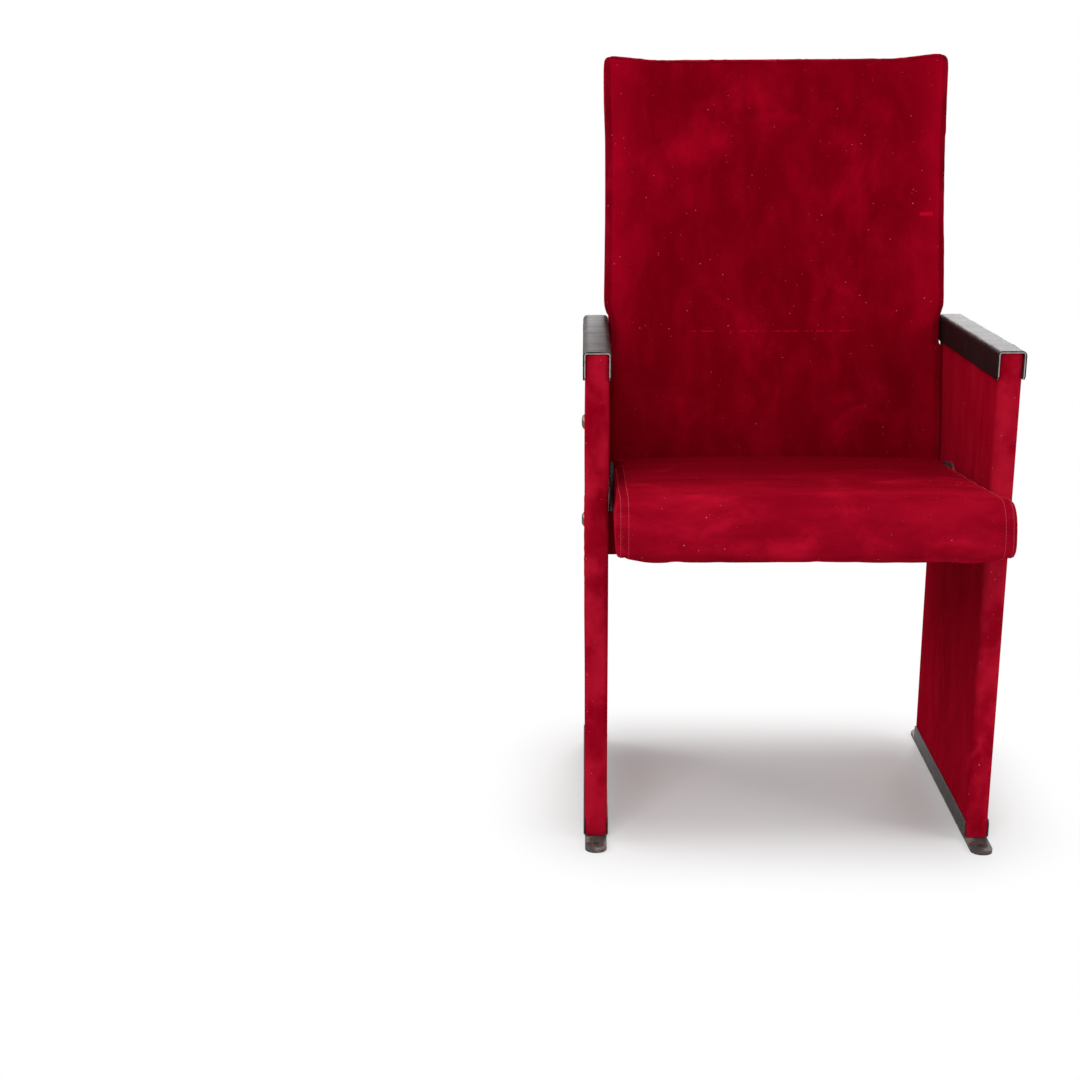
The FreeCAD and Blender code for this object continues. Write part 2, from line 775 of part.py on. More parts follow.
def build_back():
    outer = back_outer()
    band = headrest_band(outer)
    zone = rear_zone(rear_cover_depth, 0, back_top - rear_cover_drop)
    shell = plywood_shell()
    rail = back_rail()
    inserts = [insert_nut(height) for height in bolt_heights]
    sockets = [bolt_hole(height, insert_diameter / 2.0) for height in bolt_heights]
    mouths = [bolt_hole(height, bolt_shank / 2.0) for height in bolt_heights]
    openings = mouths + [mirrored(mouth) for mouth in mouths]
    cushion = cut_all(outer, [zone, band, shell, rail, mirrored(rail)] + openings)
    pieces["back_cushion"] = cushion
    pieces["back_rear_cover"] = outer.common(zone).cut(band)
    pieces["headrest_band"] = band
    pieces["back_shell"] = shell
    on_both_sides("back_rail", cut_all(rail, sockets))
    group_on_both_sides("back_insert_nuts", inserts)


def build_seat():
    board = seat_board()
    cover = underside_cover()
    angle = seat_angle()
    rail = front_rail()
    screws = seat_screws()
    cover_screws = [cover_screw(x, y) for x, y in cover_screw_places()]
    both_screws = screws + [mirrored(screw) for screw in screws]
    both_cover_screws = cover_screws + [mirrored(screw) for screw in cover_screws]
    tube_space = bar_along_x(tube_radius + foam_groove, 0, 0, -side_outer, side_outer)
    cushion = cut_all(seat_form(), [board, cover, angle, mirrored(angle), rail, tube_space])
    pieces["seat_cushion"] = seated(cushion)
    pieces["seat_board"] = seated(cut_all(board, both_screws + both_cover_screws))
    pieces["seat_underside_cover"] = seated(cut_all(cover, both_cover_screws))
    on_both_sides("seat_angle", seated(cut_all(angle, screws)))
    pieces["seat_front_rail"] = seated(cut_all(rail, both_screws))
    group_on_both_sides("seat_board_screws", [seated(screw) for screw in screws])
    group_on_both_sides("underside_screws", [seated(screw) for screw in cover_screws])
    pieces["pivot_tube"] = seated(pivot_tube())
    on_both_sides("pivot_bush", seated(pivot_bush()))
    on_both_sides("stop_plate", at_pivot(stop_plate()))


build_sides()
build_hinge()
build_back()
build_seat()

os.makedirs("parts", exist_ok=True)
for name, shape in sorted(pieces.items()):
    shape.exportStep("parts/" + name + ".step")
    state = "valid" if shape.isValid() else "NOT VALID"
    print(name, len(shape.Solids), "solid(s)", round(shape.Volume / 1000.0, 2), "cm3", state)
print(len(pieces), "nodes")
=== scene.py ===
# %% [markdown]
# # A tip up auditorium seat, dressed
#
# The real seat is a steel and plywood frame under crimson velvet. Two flat side panels stand in steel
# channels, a high reclined back hangs between them on four bolts, and the seat turns on a hinge behind
# the sitter. The CAD frame already holds every piece at its true size. This lesson adds what the eye
# sees: cloth that swells over foam, seams, stitches, gathers, leather grain and worn paint.
#
# Everything is in metres, with +Z up, the sitter facing -Y and +X on the sitter's left.

# %% Load the CAD frame
import json
import math

import bpy
import numpy as np
from mathutils import Matrix, Vector
from mathutils.kdtree import KDTree


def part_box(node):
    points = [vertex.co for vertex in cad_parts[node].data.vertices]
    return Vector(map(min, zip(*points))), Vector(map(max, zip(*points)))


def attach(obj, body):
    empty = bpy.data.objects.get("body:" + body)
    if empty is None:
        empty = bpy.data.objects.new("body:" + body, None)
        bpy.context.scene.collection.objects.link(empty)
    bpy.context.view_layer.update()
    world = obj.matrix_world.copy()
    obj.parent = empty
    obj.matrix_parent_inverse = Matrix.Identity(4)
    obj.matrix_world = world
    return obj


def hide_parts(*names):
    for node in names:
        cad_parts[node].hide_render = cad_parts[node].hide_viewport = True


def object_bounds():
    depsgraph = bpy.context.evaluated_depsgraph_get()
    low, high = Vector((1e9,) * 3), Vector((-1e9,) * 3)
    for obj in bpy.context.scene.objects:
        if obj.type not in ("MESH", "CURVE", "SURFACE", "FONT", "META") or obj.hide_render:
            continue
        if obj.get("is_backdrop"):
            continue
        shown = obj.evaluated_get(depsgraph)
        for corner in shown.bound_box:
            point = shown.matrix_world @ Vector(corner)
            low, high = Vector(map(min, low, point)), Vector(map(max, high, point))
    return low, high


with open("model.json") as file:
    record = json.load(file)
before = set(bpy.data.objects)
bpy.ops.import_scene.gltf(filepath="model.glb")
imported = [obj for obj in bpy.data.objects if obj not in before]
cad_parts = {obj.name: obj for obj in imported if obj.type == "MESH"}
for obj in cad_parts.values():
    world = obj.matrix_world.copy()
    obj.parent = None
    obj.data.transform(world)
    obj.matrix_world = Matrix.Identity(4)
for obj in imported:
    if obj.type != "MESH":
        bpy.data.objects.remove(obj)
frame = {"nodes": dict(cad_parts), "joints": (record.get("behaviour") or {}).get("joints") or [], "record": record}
cad_low, cad_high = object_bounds()
nodes = frame["nodes"]
scene = bpy.context.scene
MM = 0.001

# %% [markdown]
# ## Working by hand, in code
#
# Blender's operators act on whatever is selected, so each piece is first made the only selected one.
# In edit mode the edges or faces to work on are picked by where they are, which is what the mouse
# would do. A few short helpers keep the rest of the lesson readable.

# %% Helpers for selecting and shaping
def only(piece):
    """Makes a piece the only selected one, and the active one."""
    if bpy.context.mode != "OBJECT":
        bpy.ops.object.mode_set(mode="OBJECT")
    bpy.ops.object.select_all(action="DESELECT")
    piece.select_set(True)
    bpy.context.view_layer.objects.active = piece
    return piece


def pick(piece, kind, wanted):
    """Edit mode, with only those edges, faces or points of a piece selected that pass the test.

    The test gets the two ends of an edge, the middle and normal of a face, or the place of a point.
    """
    only(piece)
    bpy.ops.object.mode_set(mode="EDIT")
    bpy.ops.mesh.select_mode(type=kind)
    bpy.ops.mesh.select_all(action="DESELECT")
    bpy.ops.object.mode_set(mode="OBJECT")
    points = piece.data.vertices
    if kind == "EDGE":
        for edge in piece.data.edges:
            edge.select = wanted(*(points[i].co for i in edge.vertices))
    elif kind == "FACE":
        for face in piece.data.polygons:
            face.select = wanted(face.center, face.normal)
    else:
        for point in points:
            point.select = wanted(point.co)
    bpy.ops.object.mode_set(mode="EDIT")


def shape(piece, kind, wanted, operator, **settings):
    """Picks edges, faces or points of a piece, and runs an edit mode operator on them."""
    pick(piece, kind, wanted)
    operator(**settings)
    bpy.ops.object.mode_set(mode="OBJECT")


def shape_all(piece, operator, **settings):
    """Runs an edit mode operator on a whole piece."""
    only(piece)
    bpy.ops.object.mode_set(mode="EDIT")
    bpy.ops.mesh.select_all(action="SELECT")
    operator(**settings)
    bpy.ops.object.mode_set(mode="OBJECT")


def modifier(piece, kind, **settings):
    """Adds a modifier to a piece and fills in its settings."""
    only(piece)
    bpy.ops.object.modifier_add(type=kind)
    for name, value in settings.items():
        setattr(piece.modifiers[-1], name, value)
    return piece.modifiers[-1]


def apply_all(piece):
    only(piece)
    for waiting in list(piece.modifiers):
        bpy.ops.object.modifier_apply(modifier=waiting.name)


def eased(piece, width, degrees):
    """A small bevel on all edges sharper than an angle, so that they catch the light."""
    modifier(piece, "BEVEL", width=width, segments=2, angle_limit=math.radians(degrees))


def block(name, low, high):
    """A cube primitive stretched between two corners, with its place in its mesh."""
    bpy.ops.object.select_all(action="DESELECT")
    bpy.ops.mesh.primitive_cube_add(size=1)
    piece = bpy.context.object
    piece.name = name
    piece.scale = Vector(high) - Vector(low)
    piece.location = (Vector(high) + Vector(low)) / 2
    bpy.ops.object.transform_apply(location=True, rotation=True, scale=True)
    return piece


def rod(name, sides, radius, length, place=(0, 0, 0), upright=False):
    """A cylinder primitive along X, or upright, with its place in its mesh."""
    bpy.ops.object.select_all(action="DESELECT")
    turn = (0, 0, 0) if upright else (0, math.pi / 2, 0)
    bpy.ops.mesh.primitive_cylinder_add(vertices=sides, radius=radius, depth=length, location=place,
                                        rotation=turn)
    piece = bpy.context.object
    piece.name = name
    bpy.ops.object.transform_apply(location=True, rotation=True, scale=True)
    return piece


def faces_outwards(piece):
    shape_all(piece, bpy.ops.mesh.normals_make_consistent, inside=False)


def smooth(piece, degrees=40):
    only(piece)
    bpy.ops.object.shade_smooth_by_angle(angle=math.radians(degrees))


def read_each(piece, name):
    """One row of three numbers for each point of a piece."""
    values = np.empty(len(piece.data.vertices) * 3)
    piece.data.vertices.foreach_get(name, values)
    return values.reshape(-1, 3)


def read_points(piece):
    return read_each(piece, "co")


def read_normals(piece):
    return read_each(piece, "normal")


def write_points(piece, points):
    piece.data.vertices.foreach_set("co", np.asarray(points, dtype=np.float32).ravel())
    piece.data.update()


def ramp_up(value, start, end):
    """0 before start, 1 after end, and a soft step between them."""
    share = np.clip((value - start) / (end - start), 0, 1)
    return share * share * (3 - 2 * share)


def soft_waves(u, v, seed, longest, count=7):
    """A gentle unevenness from a few sines with fixed directions, about -1 to 1."""
    dice = np.random.default_rng(seed)
    total = np.zeros(np.shape(u))
    for _ in range(count):
        turn = dice.uniform(0, math.pi)
        size = longest / dice.uniform(1.0, 3.0)
        along = u * math.cos(turn) + v * math.sin(turn)
        total += np.sin(along * 2 * math.pi / size + dice.uniform(0, 2 * math.pi))
    return total / count ** 0.5


def crease(u, v, start, end, width):
    """How near points of a face are to a crease from start to end: 1 on it, fading out at both ends."""
    start, end = np.array(start), np.array(end)
    way = end - start
    length = np.linalg.norm(way)
    along = ((u - start[0]) * way[0] + (v - start[1]) * way[1]) / length ** 2
    aside = ((u - start[0]) * way[1] - (v - start[1]) * way[0]) / length
    fade = ramp_up(along, -0.05, 0.25) * (1 - ramp_up(along, 0.65, 1.05))
    return np.exp(-(aside / width) ** 2) * fade


print("helpers ready")

# %% [markdown]
# ## Sizes that the dressing shares with the frame
#
# The frame's own boxes say where everything is. Only what the frame doesn't say, such as a seam
# allowance or a thread, is written here as a size.

# %% Sizes taken from the frame
panel_low, panel_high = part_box("side_velvet_left")
back_low, back_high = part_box("back_cushion")
cap_low, cap_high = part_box("arm_wrap_left")
arm_top, arm_inner, cap_foot = cap_high.z, cap_low.x, cap_low.z
pivot = Vector(frame["joints"][0]["pos_m"])
seat_tilt = math.radians(5.3)
print("clear width %.0f mm, arms at %.0f mm" % (panel_low.x * 2000, arm_top * 1000))


# %% [markdown]
# ## Camera, light and floor
#
# The camera stands where the photographer stood, a little above the arms and to the sitter's right.
# It looks past the seat, as the photographer's did, so the seat stands in the right half of the
# picture and its far panel leans. A slight upward shift of the lens leaves room above the back.
#
# The light is a plain soft studio: four broad lamps, in front, behind and to both sides, and an even
# sky. Velvet shows its nap only under broad lamps, because a small hard lamp would burn out its rim.
# The floor is white to the camera, except right under the seat, where it takes the shadow.

# %% Camera
camera_place = Vector((-0.261, -2.118, 0.933))
look_down, look_aside, tilt = 0.2845, 0.0268, 0.0065
bpy.ops.object.camera_add(location=camera_place, rotation=(math.pi / 2 - look_down, tilt, look_aside))
camera = bpy.context.object
camera.data.lens = 54.4
camera.data.sensor_width = 36.0
camera.data.shift_y = 0.03
scene.camera = camera
print("camera", [round(v, 3) for v in camera_place], "lens", camera.data.lens)


# %% Lamps
def soft_lamp(name, place, aim_height, size, power):
    """A square lamp turned to the seat's middle at a height."""
    bpy.ops.object.light_add(type="AREA", location=place)
    lamp = bpy.context.object
    lamp.name = name
    lamp.data.shape = "SQUARE"
    lamp.data.size = size
    lamp.data.energy = power
    way = Vector((0, 0, aim_height)) - Vector(place)
    lamp.rotation_euler = way.to_track_quat("-Z", "Y").to_euler()


soft_lamp("front_lamp", (-0.9, -2.6, 2.4), 0.5, 1.8, 52)
soft_lamp("left_lamp", (2.6, -0.9, 1.9), 0.5, 1.6, 34)
soft_lamp("right_lamp", (-2.6, 0.6, 1.8), 0.5, 1.6, 34)
soft_lamp("rear_lamp", (0.6, 2.8, 1.9), 0.6, 1.8, 48)
print("four broad lamps")

# %% [markdown]
# The sky and the floor look different to the camera than to the light that bounces about. A Light Path
# node tells the rays apart: the camera sees plain white, and all other rays get a dimmer sky and a
# matt grey floor. Nodes are built by one helper, which sets or links each socket in turn.

# %% Sky
WHITE = (1, 1, 1, 1)


def add_node(tree, kind, sockets=(), **settings):
    """A shader node with its settings. Each socket gets a constant, or a link from an output."""
    node = tree.nodes.new("ShaderNode" + kind)
    for name, value in settings.items():
        setattr(node, name, value)
    for socket, value in dict(sockets).items():
        if isinstance(value, bpy.types.NodeSocket):
            tree.links.new(value, node.inputs[socket])
        else:
            node.inputs[socket].default_value = value
    return node


def emptied(owner):
    """The node tree of a world or material, with nothing in it."""
    owner.use_nodes = True
    owner.node_tree.nodes.clear()
    return owner.node_tree


sky = bpy.data.worlds.new("sky")
scene.world = sky
tree = emptied(sky)
ray = add_node(tree, "LightPath").outputs
seen = add_node(tree, "Math", {0: ray["Is Camera Ray"], 1: ray["Is Glossy Ray"]}, operation="MAXIMUM")
seen = add_node(tree, "Math", {0: seen.outputs[0], 1: ray["Is Transmission Ray"]}, operation="MAXIMUM")
sky_light = add_node(tree, "Background", {"Color": WHITE, "Strength": 0.55})
sky_seen = add_node(tree, "Background", {"Color": WHITE, "Strength": 1.0})
choose = add_node(tree, "MixShader", {0: seen.outputs[0], 1: sky_light.outputs[0], 2: sky_seen.outputs[0]})
add_node(tree, "OutputWorld", {"Surface": choose.outputs[0]})
scene.view_settings.view_transform = "Standard"
print("an even sky")

# %% Floor
shadow_half_box = (0.17, 0.09, 0)
shadow_fade = 0.24
bpy.ops.mesh.primitive_plane_add(size=40, location=(0, 0, -0.0002))
floor = bpy.context.object
floor.name = "floor"
floor_paint = bpy.data.materials.new("white_floor")
tree = emptied(floor_paint)
place = add_node(tree, "TexCoord").outputs["Object"]
mirrored = add_node(tree, "VectorMath", {0: place}, operation="ABSOLUTE")
beyond = add_node(tree, "VectorMath", {0: mirrored.outputs["Vector"], 1: shadow_half_box},
                  operation="SUBTRACT")
outside = add_node(tree, "VectorMath", {0: beyond.outputs["Vector"], 1: (0, 0, 0)}, operation="MAXIMUM")
from_seat = add_node(tree, "VectorMath", {0: outside.outputs["Vector"]}, operation="LENGTH")
fade = add_node(tree, "MapRange", {"Value": from_seat.outputs["Value"], "From Min": 0.0,
                                   "From Max": shadow_fade}, interpolation_type="SMOOTHSTEP")
ray = add_node(tree, "LightPath").outputs
seen = add_node(tree, "Math", {0: ray["Is Camera Ray"], 1: fade.outputs["Result"]}, operation="MULTIPLY")
matt = add_node(tree, "BsdfDiffuse", {"Color": (0.66, 0.66, 0.66, 1)})
glow = add_node(tree, "Emission", {"Color": WHITE})
choose = add_node(tree, "MixShader", {0: seen.outputs[0], 1: matt.outputs[0], 2: glow.outputs[0]})
add_node(tree, "OutputMaterial", {"Surface": choose.outputs[0]})
floor.data.materials.append(floor_paint)
floor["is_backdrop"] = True
print("floor laid")

# %% [markdown]
# ## Finishes
#
# Velvet is a cut pile. Where the pile leans away it looks deep crimson, where a hand has brushed it
# the other way it looks pale, and seen edge on it glows. So each velvet mixes a deep and a brushed
# colour by two noises, one for the patches and one for the strokes in the direction of the nap, and the
# shader's sheen gives the glow. All patterns are read from Object coordinates, so they stay on
# the piece when it moves.

# %% Helpers for finishes
def tone(red, green, blue):
    """A colour given as it looks on a screen, 0 to 255, as the linear colour a shader takes."""
    parts = [c / 255 for c in (red, green, blue)]
    return [c / 12.92 if c <= 0.04045 else ((c + 0.055) / 1.055) ** 2.4 for c in parts] + [1.0]


class Finish:
    """A material with its shader and short ways to add the nodes this seat needs."""

    def __init__(self, name, roughness, specular=0.5, metallic=0.0):
        self.material = bpy.data.materials.new(name)
        self.material.use_nodes = True
        self.tree = self.material.node_tree
        self.shader = self.tree.nodes["Principled BSDF"]
        self.shader.inputs["Roughness"].default_value = roughness
        self.shader.inputs["Specular IOR Level"].default_value = specular
        self.shader.inputs["Metallic"].default_value = metallic
        self.where = add_node(self.tree, "TexCoord").outputs["Object"]

    def placed(self, stretch=(1, 1, 1), shift=(0, 0, 0), turn=(0, 0, 0)):
        """Object coordinates, moved, turned and stretched for one pattern."""
        sockets = {"Vector": self.where, "Location": shift, "Rotation": turn, "Scale": stretch}
        return add_node(self.tree, "Mapping", sockets).outputs["Vector"]

    def noise(self, vector, scale, detail=2.0, roughness=0.5, distortion=0.0):
        sockets = {"Vector": vector, "Scale": scale, "Detail": detail, "Roughness": roughness,
                   "Distortion": distortion}
        return add_node(self.tree, "TexNoise", sockets).outputs["Fac"]

    def step(self, value, start, end):
        """0 where a value is under start, 1 where it is over end, soft between."""
        sockets = {"Value": value, "From Min": start, "From Max": end}
        return add_node(self.tree, "MapRange", sockets, interpolation_type="SMOOTHSTEP").outputs["Result"]

    def fall(self, value, start, end):
        """The same the other way up: 1 under start, 0 over end."""
        return self.less(1.0, self.step(value, start, end))

    def calculate(self, operation, first, second=0.0):
        """One step of arithmetic, where either side may be a number."""
        return add_node(self.tree, "Math", {0: first, 1: second}, operation=operation).outputs["Value"]

    def plus(self, first, second):
        return self.calculate("ADD", first, second)

    def less(self, first, second):
        return self.calculate("SUBTRACT", first, second)

    def times(self, first, second):
        return self.calculate("MULTIPLY", first, second)

    def greater(self, first, second):
        return self.calculate("MAXIMUM", first, second)

    def mix(self, factor, first, second):
        """From the first colour to the second as the factor goes from 0 to 1."""
        sockets = {"Factor": factor, 6: first, 7: second}
        return add_node(self.tree, "Mix", sockets, data_type="RGBA").outputs[2]

    def attribute(self, name):
        """A value that the piece holds at each of its points."""
        return add_node(self.tree, "Attribute", attribute_name=name).outputs["Fac"]

    def axis(self, letter):
        """One of the Object coordinates by itself."""
        return add_node(self.tree, "SeparateXYZ", {"Vector": self.where}).outputs[letter]

    def distance(self, letter, place=0.0):
        """How far a point is from a place along one axis, to either side."""
        return self.calculate("ABSOLUTE", self.less(self.axis(letter), place))

    def colour(self, value):
        self.tree.links.new(value, self.shader.inputs["Base Color"])

    def rough(self, value, low, high):
        """Roughness between two values, from a pattern."""
        spread = add_node(self.tree, "MapRange", {"Value": value, "To Min": low, "To Max": high})
        self.tree.links.new(spread.outputs["Result"], self.shader.inputs["Roughness"])

    def bump(self, height, depth, strength=1.0, under=None):
        """A small relief, laid over another where one is given."""
        sockets = {"Height": height, "Distance": depth, "Strength": strength}
        if under is not None:
            sockets["Normal"] = under
        relief = add_node(self.tree, "Bump", sockets).outputs["Normal"]
        self.tree.links.new(relief, self.shader.inputs["Normal"])
        return relief


# %% Velvet
patch_weight, stroke_weight, pile_weight = 0.46, 0.26, 0.14


def velvet(name, deep, brushed, patch, share, nap, shift=(0, 0, 0), zones=(), marks=None):
    """Velvet whose patches are about patch metres wide, and whose strokes run where nap is small.

    Share is how much of it has been brushed. Each zone is an attribute of the piece, with the two
    colours that the cloth has where it is over 0. Marks changes how brushed the cloth is.
    """
    cloth = Finish(name, roughness=0.75, specular=0.0)
    patches = cloth.noise(cloth.placed(shift=shift), 1 / patch, 5.0, 0.60, 0.9)
    strokes = cloth.noise(cloth.placed(stretch=nap, shift=shift), 30, 4.0, 0.65, 0.3)
    pile = cloth.noise(cloth.placed(), 1400, 1.0, 0.5)
    brushed_here = cloth.step(patches, 0.78 - 0.56 * share, 1.02 - 0.56 * share)
    streaked = cloth.step(strokes, 0.35, 0.75)
    amount = cloth.plus(cloth.times(brushed_here, patch_weight), cloth.times(streaked, stroke_weight))
    amount = cloth.plus(amount, cloth.times(cloth.step(pile, 0.3, 0.9), pile_weight))
    if marks is not None:
        amount = marks(cloth, amount)
    for attribute, zone_deep, zone_brushed in zones:
        inside = cloth.step(cloth.attribute(attribute), -0.3 * MM, 0.3 * MM)
        deep = cloth.mix(inside, deep, zone_deep)
        brushed = cloth.mix(inside, brushed, zone_brushed)
    shade = cloth.mix(amount, deep, brushed)
    lint = cloth.step(cloth.noise(cloth.placed(shift=(3.1, 1.7, 0.4)), 520, 0.0), 0.872, 0.89)
    cloth.colour(cloth.mix(lint, shade, tone(214, 120, 132)))
    cloth.rough(patches, 0.62, 0.85)
    slack = cloth.bump(cloth.noise(cloth.placed(shift=shift), 42, 3.0, 0.6), 0.0011, 0.5)
    cloth.bump(pile, 0.00035, 0.6, under=slack)
    cloth.shader.inputs["Sheen Weight"].default_value = 0.35
    cloth.shader.inputs["Sheen Roughness"].default_value = 0.34
    cloth.shader.inputs["Sheen Tint"].default_value = tone(222, 26, 54)
    return cloth.material


# %% [markdown]
# Wear is where the hand, the seat and the sitter reach. The back has a thin rub across its front, one
# small scuff near the top, and is paler towards both sides of its front. The seat is worn pale along
# its nose, with a painted highlight there too, and painted shadow darkens its rear. Each mark is a
# soft step around a named place, added to how brushed the cloth is.

# %% Wear on the back, the seat and the band
rub_height, rub_middle = 0.619, -0.003
scuff_x, scuff_height = 0.206, 0.7735


def wear_marks(cloth, amount):
    """A thin pale rub across the front, where the seat meets it when tipped up, and one small scuff."""
    rear = cloth.step(cloth.attribute("rear"), -5 * MM, -1 * MM)
    gusset = cloth.step(cloth.attribute("gusset"), -2.5 * MM, 0)
    front = cloth.less(1.0, cloth.greater(rear, gusset))
    line = cloth.fall(cloth.distance("Z", rub_height), 0.4 * MM, 1.2 * MM)
    line = cloth.times(line, cloth.fall(cloth.distance("X", rub_middle), 0.105, 0.118))
    broken = cloth.step(cloth.noise(cloth.placed(stretch=(1, 0.1, 0.1)), 150, 2.0), 0.42, 0.6)
    rub = cloth.times(cloth.times(line, broken), 0.75)
    scuff = cloth.times(cloth.step(cloth.distance("Z", scuff_height), 3.0 * MM, 1.2 * MM),
                        cloth.step(cloth.distance("X", scuff_x), 10.5 * MM, 6.5 * MM))
    marked = cloth.greater(rub, cloth.times(scuff, 1.6))
    near_side = cloth.step(cloth.distance("X"), 0.170, 0.222)
    marked = cloth.plus(marked, cloth.times(near_side, 0.30))
    return cloth.plus(amount, cloth.times(marked, front))


def seat_wear_and_shade(cloth, amount):
    """Pale along the nose, part wear from legs and part painted highlight, and painted shadow at the rear."""
    depth = cloth.axis("Y")
    # Wear and painted highlight: the nose is made paler.
    nose = cloth.times(cloth.step(depth, -0.22, -0.31), 0.20)
    # Painted shadow: the rear of the seat is made darker.
    rear = cloth.times(cloth.step(depth, -0.16, 0.02), 0.45)
    return cloth.less(cloth.plus(amount, nose), rear)


def fold_shade(cloth, amount):
    """Painted highlight on the ridges of the gathers, and painted shade in their valleys."""
    shade = cloth.times(cloth.less(cloth.attribute("ridge"), 0.42), 0.7)
    return cloth.plus(cloth.times(amount, 0.75), shade)


# %% The five velvets of the back and the seat
front_tones = (tone(108, 0, 13), tone(170, 5, 34))
# Painted light: the rear panel and its hem are paler, as the face turned to the rear lamp.
lit_rear_tones = (tone(176, 16, 36), tone(226, 54, 74))
gusset_tones = (tone(98, 0, 12), tone(190, 20, 48))
band_tones = (tone(116, 0, 20), tone(200, 30, 58))
seat_tones = (tone(104, 0, 13), tone(184, 16, 44))
cover_tones = (tone(104, 0, 13), tone(146, 6, 30))

back_velvet = velvet("back_velvet", *front_tones, patch=0.16, share=0.45, nap=(1, 1, 0.45),
                     zones=[("rear", *lit_rear_tones), ("gusset", *gusset_tones)], marks=wear_marks)
band_velvet = velvet("band_velvet", *band_tones, patch=0.07, share=0.50, nap=(1, 0.3, 0.3),
                     shift=(0.2, 0.6, 0.1), marks=fold_shade)
# The hem takes the paler rear tones of painted light.
hem_velvet = velvet("hem_velvet", *lit_rear_tones, patch=0.05, share=0.45, nap=(0.3, 1, 1))
seat_velvet = velvet("seat_velvet", *seat_tones, patch=0.13, share=0.48, nap=(0.35, 1, 1),
                     shift=(0.5, 0.3, 0.9), zones=[("gusset", *gusset_tones)], marks=seat_wear_and_shade)
cover_velvet = velvet("cover_velvet", *cover_tones, patch=0.16, share=0.35, nap=(1, 1, 0.6),
                      shift=(0.9, 0.1, 0.3))
print("five velvets for the back and the seat")

# %% [markdown]
# The side panels are painted paler than the back, as painted light for the light they take, and have
# more brushing. Their narrow front and rear ends are paler, in patches, and paler still at the rear.
# The rear lower corner is darker.

# %% Velvet of the side panels
def panel_marks(cloth, amount):
    """Paler ends, paler still at the rear, and darker low on the rear edge."""
    ends = cloth.step(cloth.distance("Y"), panel_high.y - 10 * MM, panel_high.y - 1 * MM)
    patchy = cloth.step(cloth.noise(cloth.placed(shift=(0.2, 0.4, 0.6)), 13, 4.0, 0.6), 0.40, 0.60)
    at_rear = cloth.step(cloth.axis("Y"), -0.05, 0.05)
    paler_share = cloth.plus(cloth.times(at_rear, 0.35), 0.42)
    amount = cloth.plus(amount, cloth.times(cloth.times(ends, patchy), paler_share))
    far = cloth.step(cloth.axis("Y"), 0.118, 0.168)
    low = cloth.fall(cloth.axis("Z"), 0.13, 0.21)
    darker_low_rear = cloth.step(cloth.noise(cloth.placed(), 24, 2.0), 0.44, 0.58)
    darker_low_rear = cloth.times(cloth.times(far, low), darker_low_rear)
    return cloth.less(amount, cloth.times(darker_low_rear, 0.8))


# Painted light: the panel tones are paler than the back's, for the light the panels take.
panel_velvet = velvet("panel_velvet", tone(131, 0, 20), tone(192, 26, 52), patch=0.10, share=0.33,
                      nap=(1, 1, 0.40), shift=(0.1, 0.8, 0.2), marks=panel_marks)
print("panel velvet ready")

# %% [markdown]
# Leatherette is a smooth vinyl skin on a knitted back. Its grain is a net of tiny cells, which a
# Voronoi texture gives. Its top is painted greyer than the skirts, in patches, as a painted sheen for
# the bright sky it reflects. Its gloss varies in patches all over.

# %% Leatherette
def leatherette():
    skin = Finish("black_leatherette", roughness=0.5, specular=0.13)
    grain = skin.placed(stretch=(1, 0.7, 1))
    cells = add_node(skin.tree, "TexVoronoi", {"Vector": grain, "Scale": 900})
    worn = skin.noise(skin.placed(stretch=(1, 0.5, 1)), 28, 4.0, 0.6)
    # Painted sheen: the top of the cap is painted greyer, in patches, for the sky it reflects.
    upper = skin.step(skin.axis("Z"), arm_top - 4 * MM, arm_top - 0.5 * MM)
    paler_share = skin.times(upper, skin.step(worn, 0.25, 0.7))
    shade = skin.mix(paler_share, tone(20, 14, 15), tone(78, 72, 71))
    dust = skin.step(skin.noise(skin.placed(), 700, 1.0), 0.72, 0.80)
    shade = skin.mix(skin.times(dust, 0.35), shade, tone(150, 145, 142))
    skin.colour(shade)
    skin.rough(worn, 0.38, 0.56)
    wrinkles = skin.bump(skin.noise(skin.placed(stretch=(0.5, 1, 1)), 90, 4.0, 0.65), 0.0006, 0.5)
    skin.bump(cells.outputs["Distance"], 0.00012, 0.7, under=wrinkles)
    return skin.material


black_leatherette = leatherette()
print("leatherette ready")

# %% [markdown]
# The channels and bars are steel under a thin dark paint. Shoes have scuffed it to brownish grey,
# more on the bars than on the channels. The bolts are darkened steel, and the hinge parts
# are zinc plated or bare.

# %% Steel, nylon, rubber and wood
def painted_steel(name, paint, scuff, worn_share):
    steel = Finish(name, roughness=0.5, specular=0.45)
    patches = steel.noise(steel.placed(), 38, 5.0, 0.65)
    scratches = steel.noise(steel.placed(stretch=(1, 0.06, 1), turn=(0, 0, 0.1)), 420, 2.0)
    worn = steel.step(patches, 0.72 - 0.3 * worn_share, 0.86 - 0.3 * worn_share)
    scratched = steel.times(steel.step(scratches, 0.60, 0.72), 0.5)
    steel.colour(steel.mix(steel.greater(worn, scratched), paint, scuff))
    steel.rough(patches, 0.38, 0.62)
    steel.bump(patches, 0.0003, 0.35)
    return steel.material


def bare_steel(name, shade, dull, roughness):
    """Plated or darkened steel with a faint cloudiness."""
    steel = Finish(name, roughness=roughness, metallic=1.0)
    cloud = steel.noise(steel.placed(), 160, 4.0, 0.6)
    steel.colour(steel.mix(steel.step(cloud, 0.35, 0.7), shade, dull))
    steel.rough(cloud, roughness - 0.08, roughness + 0.12)
    steel.bump(cloud, 0.00008, 0.4)
    return steel.material


